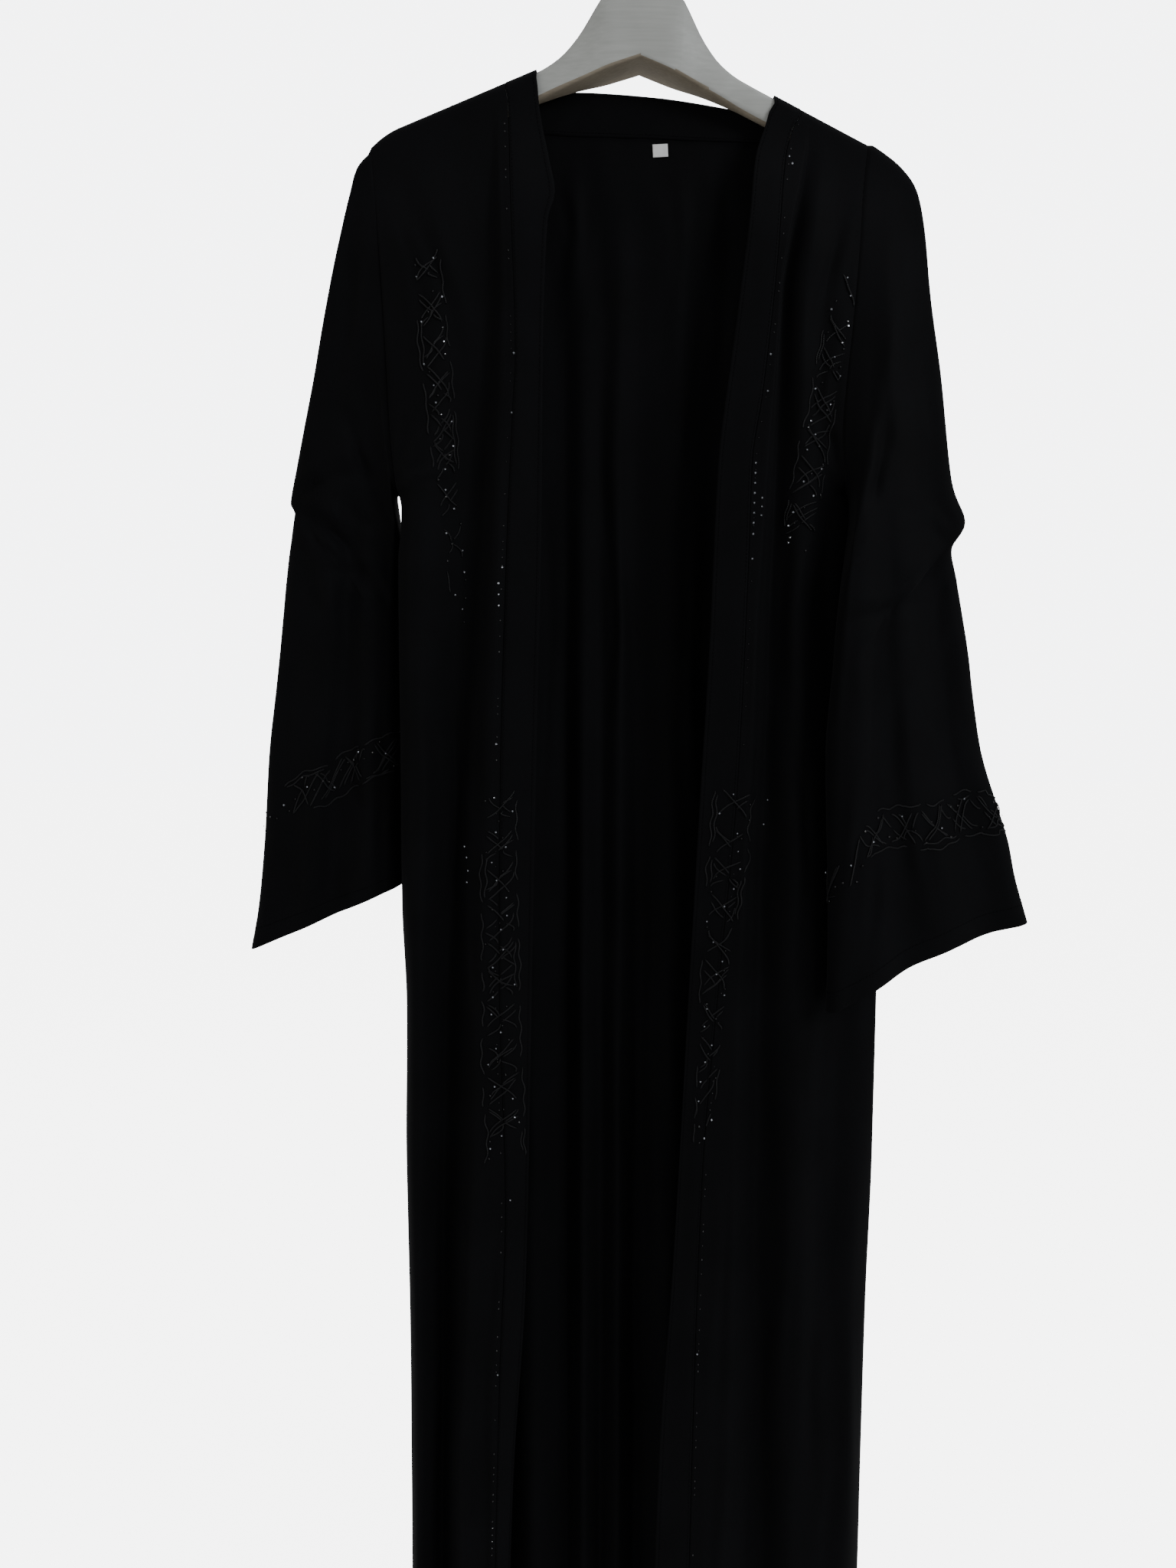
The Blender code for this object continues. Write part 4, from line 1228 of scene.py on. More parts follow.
@dataclass
class GridPlaces:
    """Finds points and normals on a sheet's middle surface by row and column."""

    grid: np.ndarray
    ring: bool
    side: Side

    def __post_init__(self) -> None:
        """Work out the normals, facing out of a tube or to the sheet's side."""
        down = np.gradient(self.grid, axis=0)
        if self.ring:
            over = (np.roll(self.grid, -1, axis=1) - np.roll(self.grid, 1, axis=1)) / 2
            away = self.grid - self.grid.mean(axis=1, keepdims=True)
        else:
            over = np.gradient(self.grid, axis=1)
            away = np.zeros_like(self.grid)
            away[..., 1] = self.side.value
        normals = np.cross(down, over)
        normals *= 1.0 if (normals * away).sum() > 0 else -1.0
        self.normals = normals / np.maximum(np.linalg.norm(normals, axis=-1, keepdims=True), 1e-9)

    def at(self, row: float, column: float) -> Place:
        """Read the surface between its grid points.

        Args:
            row: The row, with a fraction.
            column: The column, with a fraction.

        Returns:
            The place.
        """
        rows, columns = self.grid.shape[:2]
        row = min(max(row, 0.0), rows - 1.001)
        column = column % columns if self.ring else min(max(column, 0.0), columns - 1.001)
        r, c = int(row), int(column)
        fr, fc = row - r, column - c
        after = (c + 1) % columns
        values = []
        for table in (self.grid, self.normals):
            near = table[r, c] * (1 - fc) + table[r, after] * fc
            far = table[r + 1, c] * (1 - fc) + table[r + 1, after] * fc
            values.append(near * (1 - fr) + far * fr)
        return Place(Vector(values[0]), Vector(values[1]).normalized())


def cast(tree: BVHTree, x: float, z: float, side: Side = Side.FRONT) -> Place | None:
    """Find the surface at an x and a height, as seen from one side.

    Args:
        tree: The surface.
        x: Where across.
        z: The height.
        side: The side to look from.

    Returns:
        The place, or none beside the surface.
    """
    away = side.value
    point, normal, _, _ = tree.ray_cast(Vector((x, away * 300.0, z)), Vector((0.0, -away, 0.0)))
    if point is None:
        return None
    return Place(point, normal if normal.y * away > 0 else -normal)


def tube(
    name: str, runs: Sequence[Sequence[Place]], radius: float, flatness: float, sides: int, finish: Finish
) -> bpy.types.Object:
    """Make round or flattened cords along runs of places, with rounded ends and their lay in a UV map.

    Args:
        name: The object's name.
        runs: Each cord's middle line and the way that its flat side faces.
        radius: Half the cord's width.
        flatness: Its height as a share of its width.
        sides: Sides round it.
        finish: Its surface.

    Returns:
        The object.
    """
    points: list[np.ndarray] = []
    faces: list[tuple[int, ...]] = []
    lay: list[float] = []
    start = 0
    for run in runs:
        line = np.array([place.point for place in run])
        normal = np.array([place.normal for place in run])
        tangent = np.gradient(line, axis=0)
        tangent /= np.maximum(np.linalg.norm(tangent, axis=1, keepdims=True), 1e-9)
        across_it = np.cross(normal, tangent)
        across_it /= np.maximum(np.linalg.norm(across_it, axis=1, keepdims=True), 1e-9)
        normal = np.cross(tangent, across_it)
        reach = np.concatenate([[0.0], np.cumsum(np.linalg.norm(np.diff(line, axis=0), axis=1))])
        from_end = np.clip(np.minimum(reach, reach[-1] - reach) / radius, 0.0, 1.0)
        size = radius * np.sqrt(1.0 - (1.0 - np.maximum(from_end, 0.05)) ** 2)
        for step in range(sides):
            angle = 2 * math.pi * step / sides
            points.append(
                line + size[:, None] * (across_it * math.cos(angle) + normal * flatness * math.sin(angle)),
            )
        count = len(line)
        for row in range(count - 1):
            for step in range(sides):
                after = (step + 1) % sides
                faces.append((
                    start + step * count + row, start + after * count + row,
                    start + after * count + row + 1, start + step * count + row + 1,
                ))
                near, far = reach[row] * MM, reach[row + 1] * MM
                lay += [
                    near, step / sides, near, (step + 1) / sides, far, (step + 1) / sides, far, step / sides,
                ]
        faces.append(tuple(start + step * count for step in reversed(range(sides))))
        faces.append(tuple(start + step * count + count - 1 for step in range(sides)))
        lay += [0.0, 0.0] * (2 * sides)
        start += sides * count
    item = make_mesh(name, np.concatenate(points), faces, finish, True)
    if len(item.data.loops) * 2 == len(lay):
        item.data.uv_layers.new(name="cord").data.foreach_set("uv", lay)
    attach(item, "root")
    return item


CORD_RADIUS = 0.68
CORD_FLATNESS = 0.8
CORD_STEP = 1.3
GROUP_PITCH = 30.0
STROKE_PITCH = 4.6
STROKE_REACH = 20.0
STROKE_EDGE = 0.78
CROSSING_LIFT = 0.7
SIDE_LINE_SHARE = 0.94
SHORTEST_RUN = 5


@dataclass(frozen=True)
class Strip:
    """A strip of cord embroidery: its middle line as x and z, its width, its stones and how full it is."""

    name: str
    path: tuple[Flat, ...]
    widths: tuple[float, ...]
    stones: int
    fullness: tuple[Flat, ...]


LEFT_STRIPS = (
    Strip(
        "cord_left_upper", ((-176, -259), (-168, -350), (-160, -460), (-150, -558)), (25, 24, 19, 13), 9,
        ((0.0, 0.75), (0.1, 0.9), (0.55, 0.9), (0.66, 0.4), (1.0, 0.2)),
    ),
    Strip(
        "cord_left_lower", ((-119, -694), (-120, -857), (-117, -1015)), (29, 32, 36), 11,
        ((0.0, 0.8), (0.3, 0.95), (1.0, 0.9)),
    ),
)
RIGHT_STRIPS = (
    Strip(
        "cord_right_upper", ((167, -276), (151, -350), (137, -430), (126.5, -500)), (22, 26, 28, 28), 9,
        ((0.0, 0.6), (0.25, 0.85), (0.8, 0.9), (1.0, 0.6)),
    ),
    Strip(
        "cord_right_lower", ((77.5, -692), (62.5, -855), (52.5, -1004)), (36, 26, 14), 10,
        ((0.0, 0.95), (0.55, 0.9), (0.7, 0.5), (1.0, 0.35)),
    ),
)


@dataclass
class Braid:
    """Lays cords along a strip: groups of slanted strokes that cross, between side lines that break off."""

    length: float
    surface: Callable[[float, float], Place | None]
    fullness: tuple[Flat, ...]
    seed: int
    runs: list[list[Place]] = field(default_factory=list)

    def __post_init__(self) -> None:
        """Start the chance that the strokes follow."""
        self.chance = np.random.default_rng(self.seed)

    def stroke(self, start: Flat, end: Flat, bend: float, over: float) -> None:
        """Lay one cord, bent to one side, and raised where it crosses others.

        Args:
            start: Where it starts: how far along the strip, and across it as a share of its half-width.
            end: Where it ends.
            bend: How far its middle bends aside, as a share of the half-width.
            over: How far its middle is raised.
        """
        count = max(7, int(math.hypot(end[0] - start[0], 14.0 * (end[1] - start[1])) / CORD_STEP))
        base = CREPE_THICKNESS / 2 + CORD_RADIUS * CORD_FLATNESS * 0.8
        run: list[Place] = []
        for step in range(count + 1):
            t = step / count
            u = start[0] + (end[0] - start[0]) * t
            share = start[1] + (end[1] - start[1]) * t + bend * math.sin(math.pi * t)
            share += 0.05 * math.sin(u / 2.9 + 5.0 * bend)
            found = self.surface(u, share) if 0.0 <= u <= self.length else None
            if found is None:
                break
            run.append(
                Place(found.point + found.normal * (base + over * math.sin(math.pi * t)), found.normal),
            )
        if len(run) > SHORTEST_RUN:
            self.runs.append(run)

    def group(self, at: float) -> None:
        """Lay one group of strokes, up to three one way and up to two across them.

        Args:
            at: Where it starts along the strip.
        """
        kept = float(np.interp(at / self.length, *zip(*self.fullness)))
        for slant, count in ((1.0, 3), (-1.0, 2)):
            for line in range(count):
                jitter, trim, late, bend, luck, break_at = self.chance.uniform(-1.0, 1.0, 6)
                low = -STROKE_EDGE + 0.16 * abs(trim)
                high = STROKE_EDGE - 0.22 * abs(late)
                near = at + STROKE_PITCH * line + 2.6 * jitter
                far = near + STROKE_REACH + 4.0 * bend
                if abs(luck) > kept:
                    continue
                over = 0.0 if slant > 0 else CROSSING_LIFT
                start, end = (near, -slant * low), (far, -slant * high)
                if break_at > 0.25:
                    middle = 0.35 + 0.3 * break_at
                    mid_u, mid_share = near + (far - near) * middle, start[1] + (end[1] - start[1]) * middle
                    self.stroke(start, (mid_u, mid_share), 0.22 * bend, over * 0.6)
                    start = (mid_u + 1.8, mid_share + (end[1] - start[1]) * 0.07)
                self.stroke(start, end, 0.32 * bend, over)

    def side(self, share: float) -> None:
        """Lay a side line in lengths with gaps between, doubled here and there.

        Args:
            share: Where it lies across the strip.
        """
        at = float(self.chance.uniform(0.0, 8.0))
        while at < self.length - 8.0:
            size, gap, bow, luck, double = self.chance.uniform(0.0, 1.0, 5)
            end = min(at + 16.0 + 34.0 * size, self.length)
            kept = float(np.interp(at / self.length, *zip(*self.fullness)))
            if luck < kept - 0.08:
                self.stroke((at, share), (end, share), 0.3 * (bow - 0.5), 0.0)
                if double > 0.6:
                    self.stroke((at + 3.0, share * 0.84), (end - 4.0, share * 0.86), 0.12 * (0.5 - bow), 0.0)
            at = end + 3.0 + 9.0 * gap

    def lay(self) -> list[list[Place]]:
        """Lay the whole strip.

        Returns:
            The cords, each a run of places.
        """
        for step in range(int(self.length / GROUP_PITCH)):
            self.group(step * GROUP_PITCH + 1.5 + float(self.chance.uniform(-1.5, 2.5)))
        for share in (-SIDE_LINE_SHARE, SIDE_LINE_SHARE):
            self.side(share)
        return self.runs


def strip_surface(strip: Strip, tree: BVHTree) -> tuple[float, Callable[[float, float], Place | None]]:
    """Lay out a strip on the fronts.

    Args:
        strip: The strip.
        tree: The surface that it lies on.

    Returns:
        Its length, and the function that finds a place on it.
    """
    path = np.array(strip.path, float)
    reach = np.concatenate([[0.0], np.cumsum(np.hypot(*np.diff(path, axis=0).T))])

    def surface(u: float, share: float) -> Place | None:
        """Find a place on the strip.

        Args:
            u: How far along.
            share: How far across, as a share of its half-width.

        Returns:
            The place, or none beside the cloth.
        """
        x, z = through(reach, path[:, 0], u), through(reach, path[:, 1], u)
        ahead = through(reach, path[:, 0], u + 2.0) - through(reach, path[:, 0], u - 2.0)
        down = through(reach, path[:, 1], u + 2.0) - through(reach, path[:, 1], u - 2.0)
        size = math.hypot(ahead, down)
        half = float(np.interp(u, reach, strip.widths)) / 2
        return cast(tree, x - down / size * half * share, z + ahead / size * half * share)

    return float(reach[-1]), surface


class Spot(NamedTuple):
    """Where a stone or a stitch goes: its place, the way that its axis points, and its size."""

    point: Vector
    facing: Vector
    size: float


@dataclass(frozen=True)
class Scatter:
    """Repeats one small form at spots: a cut stone, or a stitch of thread."""

    name: str
    sides: int
    radius: float
    top: float
    height: float
    finish: Finish
    smooth: bool
    seed: int = 7

    def group(self) -> Any:
        """Make the geometry nodes that repeat the form.

        Returns:
            The node group.
        """
        tree = bpy.data.node_groups.new(self.name, "GeometryNodeTree")
        tree.interface.new_socket(name="Geometry", in_out="OUTPUT", socket_type="NodeSocketGeometry")
        for label, kind in (
            ("Geometry", "Geometry"), ("Radius", "Float"), ("Top", "Float"),
            ("Height", "Float"), ("Seed", "Int"), ("Finish", "Material"),
        ):
            tree.interface.new_socket(name=label, in_out="INPUT", socket_type="NodeSocket" + kind)
        given = tree.nodes.new("NodeGroupInput").outputs
        form = add_node(tree, "GeometryNodeMeshCone", {"fill_type": "NGON"}, {
            "Vertices": self.sides, "Radius Bottom": given["Radius"],
            "Radius Top": given["Top"], "Depth": given["Height"],
        })
        facing = add_node(
            tree, "GeometryNodeInputNamedAttribute", {"data_type": "FLOAT_VECTOR"}, {"Name": "facing"},
        )
        size = add_node(tree, "GeometryNodeInputNamedAttribute", {"data_type": "FLOAT"}, {"Name": "size"})
        turn = add_node(
            tree, "FunctionNodeRandomValue", {"data_type": "FLOAT"},
            {2: 0.0, 3: 2 * math.pi, 8: given["Seed"]},
        )
        angles = add_node(tree, "ShaderNodeCombineXYZ", {}, {"Z": turn.outputs[1]})
        spin = add_node(tree, "FunctionNodeEulerToRotation", {}, {0: angles.outputs[0]})
        aimed = add_node(
            tree, "FunctionNodeAlignRotationToVector", {"axis": "Z"}, {"Vector": facing.outputs["Attribute"]},
        )
        both = add_node(tree, "FunctionNodeRotateRotation", {"rotation_space": "LOCAL"}, {
            "Rotation": aimed.outputs[0], "Rotate By": spin.outputs[0],
        })
        copies = add_node(tree, "GeometryNodeInstanceOnPoints", {}, {
            "Points": given["Geometry"], "Instance": form.outputs["Mesh"],
            "Rotation": both.outputs[0], "Scale": size.outputs["Attribute"],
        })
        real = add_node(tree, "GeometryNodeRealizeInstances", {}, {0: copies.outputs[0]})
        dressed = add_node(
            tree, "GeometryNodeSetMaterial", {}, {"Geometry": real.outputs[0], "Material": given["Finish"]},
        )
        result = tree.nodes.new("NodeGroupOutput")
        tree.links.new(dressed.outputs[0], result.inputs[0])
        return tree

    def build(self, spots: Sequence[Spot]) -> bpy.types.Object:
        """Put the form at the spots.

        Args:
            spots: The spots, in millimetres.

        Returns:
            The object, as one plain mesh.
        """
        mesh = bpy.data.meshes.new(self.name)
        mesh.from_pydata([tuple(spot.point * MM) for spot in spots], [], [])
        facing = mesh.attributes.new("facing", "FLOAT_VECTOR", "POINT")
        facing.data.foreach_set("vector", [value for spot in spots for value in spot.facing])
        size = mesh.attributes.new("size", "FLOAT", "POINT")
        size.data.foreach_set("value", [spot.size for spot in spots])
        item = bpy.data.objects.new(self.name, mesh)
        bpy.context.scene.collection.objects.link(item)
        tree = self.group()
        inputs = {
            "Radius": self.radius * MM, "Top": self.top * MM, "Height": self.height * MM,
            "Seed": self.seed, "Finish": self.finish.material(),
        }
        modifier = item.modifiers.new("repeat", "NODES")
        modifier.node_group = tree
        for socket in tree.interface.items_tree:
            if socket.in_out == "INPUT" and socket.name in inputs:
                modifier[socket.identifier] = inputs[socket.name]
        settled(item)
        if self.smooth:
            item.data.shade_smooth()
        else:
            item.data.shade_flat()
        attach(item, "root")
        LOG.info("%s: %d spots", self.name, len(spots))
        return item


STITCH_STEP = 3.2
THREAD_RADIUS = 0.22


def stitches(lines: Sequence[Sequence[Place]]) -> list[Spot]:
    """Space stitches along lines on the cloth.

    Args:
        lines: Runs of places on the cloth's face.

    Returns:
        A spot for each stitch, pointing along its line.
    """
    spots: list[Spot] = []
    for line in lines:
        points = np.array([place.point + place.normal * 0.12 for place in line])
        reach = np.concatenate([[0.0], np.cumsum(np.linalg.norm(np.diff(points, axis=0), axis=1))])
        for step in range(int(reach[-1] / STITCH_STEP)):
            start, end = [
                np.array([np.interp(at, reach, points[:, axis]) for axis in range(3)])
                for at in (step * STITCH_STEP, step * STITCH_STEP + 2.2)
            ]
            ahead = Vector(end - start)
            if ahead.length > 1e-6:
                spots.append(Spot(Vector(start), ahead.normalized(), 1.0))
    return spots


def face_line(
    places: GridPlaces, rows: Sequence[float], columns: Sequence[float], lift: float,
) -> list[Place]:
    """Follow a line over a sheet's grid, on its face.

    Args:
        places: The sheet.
        rows: The row at each step.
        columns: The column at each step.
        lift: Half the cloth's thickness, negative for its other face.

    Returns:
        The places.
    """
    found = [places.at(row, column) for row, column in zip(rows, columns)]
    sign = 1.0 if lift > 0 else -1.0
    return [Place(place.point + place.normal * lift, place.normal * sign) for place in found]


def sew(sheet: Sheet, edges: Sequence[float], hems: Sequence[float], both_faces: bool) -> None:
    """Sew rows of stitches down a sheet's columns and along its rows.

    Args:
        sheet: The sheet.
        edges: Columns to sew down.
        hems: Rows to sew along.
        both_faces: Whether the stitches show on both faces.
    """
    places = GridPlaces(sheet.grid, sheet.ring, sheet.side)
    rows, columns = sheet.grid.shape[:2]
    lines = []
    for sign in ((1.0, -1.0) if both_faces else (1.0,)):
        lift = sign * sheet.thickness / 2
        for edge in edges:
            column = edge if edge >= 0 else columns - 1 + edge
            lines.append(face_line(places, np.arange(rows), np.full(rows, column), lift))
        for hem in hems:
            row = hem if hem >= 0 else rows - 1 + hem
            steps = (
                np.linspace(0, columns, 3 * columns) if sheet.ring
                else np.linspace(1, columns - 2, 3 * columns)
            )
            lines.append(face_line(places, np.full(len(steps), row), steps, lift))
    form = Scatter("stitches_" + sheet.node, 6, THREAD_RADIUS, THREAD_RADIUS, 2.2, THREAD, True)
    item = form.build(stitches(lines))
    sheet.trims.append(item)


# How far down each sleeve its strip lies, by the share across from the outer fold, as a place in its table
LEFT_SLEEVE_BAND = (
    (0.0, 9.75), (0.3, 9.37), (0.43, 9.27), (0.54, 9.1), (0.73, 8.8), (0.91, 8.45), (1.0, 8.25),
)
RIGHT_SLEEVE_BAND = (
    (0.0, 13.08), (0.16, 12.9), (0.46, 12.83), (0.6, 12.7), (0.74, 12.6), (0.88, 13.08), (1.0, 13.45),
)
# How full each strip is, by the share of the way round from the outer fold
LEFT_SLEEVE_FULLNESS = ((0.0, 0.35), (0.08, 0.5), (0.14, 0.95), (0.45, 0.95), (0.9, 0.9), (1.0, 0.5))
RIGHT_SLEEVE_FULLNESS = (
    (0.0, 0.95), (0.33, 0.9), (0.37, 0.25), (0.42, 0.25), (0.46, 0.8), (0.55, 0.8), (0.58, 0.3), (0.64, 0.8),
    (1.0, 0.9),
)
# Places where a stone catches the light in the photo, as x and z on each front; the bright foiled stone set
# at each is a painted glint among the black ones
LEFT_GLINTS = (
    (-112, -123), (-110, -142), (-108, -205), (-105.5, -339), (-107.5, -386), (-116, -510), (-119, -523),
    (-119, -532), (-119, -541), (-122, -655), (-119, -684), (-119, -694), (-119, -703),
    (-113, -1050), (-125, -1209), (-150, -743), (-148, -752), (-147, -763), (-148, -773),
)
RIGHT_GLINTS = (
    (116.6, -182), (91, -426), (90.8, -434), (90.6, -442), (90.4, -450), (90.2, -458), (90, -466),
    (89.8, -474), (89.6, -483), (89.2, -503), (96.5, -454), (96.3, -461), (96, -468),
    (107.5, -704), (104, -725), (50, -1190), (119, -188), (100, -369), (102, -340),
)


@dataclass
class Body:
    """The fronts, their bands, the back and the neck band."""

    sheets: dict[str, Sheet] = field(default_factory=dict)

    def front(self, right: bool) -> None:
        """Build a front and its band.

        Args:
            right: Whether it is the right one.
        """
        name = "right" if right else "left"
        rows = panel_rows(52, 150)
        lines = RIGHT_LINES if right else LEFT_LINES
        seam, edge = (RIGHT_SEAM, RIGHT_EDGE) if right else (LEFT_SEAM, LEFT_EDGE)
        inward = -1.0 if right else 1.0
        splits = 13 if right else 16
        panel, band = [], []
        for row in rows:
            controls = [edge_point(row, right, Side.FRONT)]
            controls += [front_line(line, row) for line in lines]
            controls.append(band_line(seam, SEAM_Y, row, -inward * FLAT_SEAM))
            panel.append(across(controls, splits, {0: "start"}))
            ends = [band_line(seam, SEAM_Y, row, inward * FLAT_SEAM), band_line(edge, EDGE_Y, row, 0.0)]
            band.append(across(ends, 18, {}))
            if row.kind is RowKind.WRAP:
                panel[-1] = [wrap_point(point[0], row.value, Side.FRONT) for point in panel[-1]]
                band[-1] = [wrap_point(point[0], row.value, Side.FRONT) for point in band[-1]]
        creases = RIGHT_CREASES if right else LEFT_CREASES
        self.sheets["front_" + name] = Sheet(
            f"front_{name}_cloth", "front_" + name, np.array(panel), Side.FRONT, creases, 21 + right,
            (0.245, 1.43) if right else (0.155, 1.42), 0.27 if right else 0.17,
            ("hanger_wood",),
        ).build()
        self.sheets["front_band_" + name] = Sheet(
            f"front_band_{name}_cloth", "front_band_" + name, np.array(band), Side.FRONT, (), 31 + right,
            (0.034, 1.42), 0.046, (f"front_{name}_cloth",), BAND_THICKNESS, ripple=0.5,
        ).build()

    def back(self) -> None:
        """Build the back and the neck band."""
        splits = 10
        rows = panel_rows(52, 150)
        grid = []
        for row in rows:
            controls = [edge_point(row, False, Side.BACK)]
            controls += [back_line(line, row) for line in BACK_LINES]
            controls.append(edge_point(row, True, Side.BACK))
            line = across(controls, splits, {0: "start", len(controls) - 2: "end"})
            if row.kind is RowKind.WRAP:
                line = [wrap_point(point[0], row.value, Side.BACK) for point in line]
            grid.append(line)
        names = [line.name for line in BACK_LINES]
        left, right = [(names.index(name) + 1) * splits for name in NECK_CORNERS]
        neck_row = 9
        absent = {(row, column) for row in range(neck_row) for column in range(left, right)}
        band = self.neck_rows(grid, neck_row, left, right)
        self.sheets["back"] = Sheet(
            "back_cloth", "back", np.array(grid), Side.BACK, BACK_CREASES, 41, (0.56, 1.39), 0.74,
            ("hanger_wood",), absent=absent,
        ).build()
        self.sheets["neck_band"] = Sheet(
            "neck_band_cloth", "neck_band", np.array(band), Side.BACK, (), 43, (0.034, 0.29), 0.0085,
            ("hanger_wood",), BAND_THICKNESS, ripple=0.0,
        ).build()

    def neck_rows(self, grid: list[list[Point]], neck_row: int, left: int, right: int) -> list[list[Point]]:
        """Lay the back neck band round the neck, down from one shoulder and up to the other.

        Args:
            grid: The back's grid.
            neck_row: The row of its neck seam.
            left: The column of its left corner.
            right: The column of its right corner.

        Returns:
            The band's rows, each from its free edge to its seam.
        """
        lift = Vector((0.0, -0.5, -0.9))
        angles = [math.radians(15 * step) for step in range(7)]
        seam_row = [Vector(grid[neck_row][column]) for column in range(left, right + 1)]
        edge_row = []
        for point in seam_row:
            share = (point.x - seam_row[0].x) / (seam_row[-1].x - seam_row[0].x)
            x = NECK_EDGE[0][0] + (NECK_EDGE[-1][0] - NECK_EDGE[0][0]) * share
            edge_row.append(Vector((x, neck_y(x) - NECK_LEAN, along(NECK_EDGE, x))))
        seam_row = [point + lift for point in seam_row]
        pairs = [(edge, seam) for edge, seam in zip(edge_row, seam_row)]
        for column, edge_x, inset, at_end in (
            (left, LEFT_EDGE[0][1], 1, False), (right, RIGHT_EDGE[0][1], -1, True),
        ):
            shift = Vector((-FLAT_SEAM * inset, 0.0, 0.0))
            corner = seam_row[-1 if at_end else 0]
            corner += shift
            side = [
                (Vector(wrap_point(edge_x, angle, Side.BACK)), Vector(grid[index][column]) + shift)
                for index, angle in enumerate(angles)
            ]
            last = side[-1]
            corner_edge = edge_row[-1 if at_end else 0]
            side += [
                (last[0].lerp(corner_edge, step / 5), last[1].lerp(corner, step / 5)) for step in range(1, 5)
            ]
            pairs = pairs + side[::-1] if at_end else side + pairs
        return [across([tuple(edge), tuple(seam)], 16, {}) for edge, seam in pairs]

    def tree(self, names: Sequence[str]) -> BVHTree:
        """Index several sheets as one surface.

        Args:
            names: Their nodes.

        Returns:
            The tree, in millimetres.
        """
        points: list[Vector] = []
        faces: list[tuple[int, ...]] = []
        for name in names:
            grid = self.sheets[name].grid
            rows, columns = grid.shape[:2]
            base = len(points)
            points += [Vector(point) for point in grid.reshape(-1, 3)]
            faces += [
                (base + row * columns + column, base + row * columns + column + 1,
                 base + (row + 1) * columns + column + 1, base + (row + 1) * columns + column)
                for row in range(rows - 1) for column in range(columns - 1)
            ]
        return BVHTree.FromPolygons(points, faces)

    def embroider(self, right: bool) -> None:
        """Lay the cord strips and the stones on a front.

        Args:
            right: Whether it is the right one.
        """
        name = "right" if right else "left"
        sheet = self.sheets["front_" + name]
        tree = self.tree(("front_" + name, "front_band_" + name))
        chance = np.random.default_rng(5 + right)
        clear, jet = [], []
        for strip in RIGHT_STRIPS if right else LEFT_STRIPS:
            length, surface = strip_surface(strip, tree)
            runs = Braid(length, surface, strip.fullness, 70 + len(strip.name) + right).lay()
            cords = tube(strip.name, runs, CORD_RADIUS, CORD_FLATNESS, 6, CORD)
            sheet.trims.append(cords)
            for step in range(strip.stones * 4):
                u = length * (step + float(chance.uniform(0.1, 0.9))) / (strip.stones * 4)
                place = surface(u, float(chance.uniform(-0.8, 0.8)))
                if place is None:
                    continue
                spot = Spot(place.point + place.normal * 1.5, place.normal, float(chance.uniform(0.75, 1.1)))
                (clear if step % 2 == 0 else jet).append(spot)
        # Bright foiled stones at the glint places: painted glints among the black stones
        for x, z in RIGHT_GLINTS if right else LEFT_GLINTS:
            place = cast(tree, x, z)
            if place is not None:
                clear.append(
                    Spot(place.point + place.normal * 0.75, place.normal, float(chance.uniform(0.85, 1.15))),
                )
        seam = RIGHT_SEAM if right else LEFT_SEAM
        for z in np.arange(-150.0, -1530.0, -6.4):
            place = cast(tree, along(seam, float(z)) + (3.2 if right else -3.2), float(z))
            size, luck = chance.uniform(0.0, 1.0, 2)
            if place is not None and luck < 0.35:
                jet.append(Spot(place.point + place.normal * 0.55, place.normal, 0.6 + 0.2 * float(size)))
        sheet.trims.append(clear_stone(f"clear_stone_{name}").build(clear))
        sheet.trims.append(jet_stone(f"jet_stone_{name}").build(jet))

    def build(self) -> "Body":
        """Build and sew every sheet of the body.

        Returns:
            The body itself.
        """
        self.back()
        for right in (False, True):
            self.front(right)
            self.embroider(right)
        sew(self.sheets["back"], (), (-2.6,), False)
        sew(self.sheets["neck_band"], (1.3, -1.3), (), True)
        for name in ("left", "right"):
            sew(self.sheets["front_" + name], (), (-2.6,), False)
            sew(self.sheets["front_band_" + name], (1.0, -2.0), (-2.6,), True)
        return self


def clear_stone(label: str) -> Scatter:
    """Describe a clear stone.

    Args:
        label: The object's name.

    Returns:
        Its form.
    """
    return Scatter(label, 8, 0.9, 0.45, 0.6, GLASS, False, 3)


def jet_stone(label: str) -> Scatter:
    """Describe a black stone.

    Args:
        label: The object's name.

    Returns:
        Its form.
    """
    return Scatter(label, 8, 0.95, 0.5, 0.6, JET, False, 4)


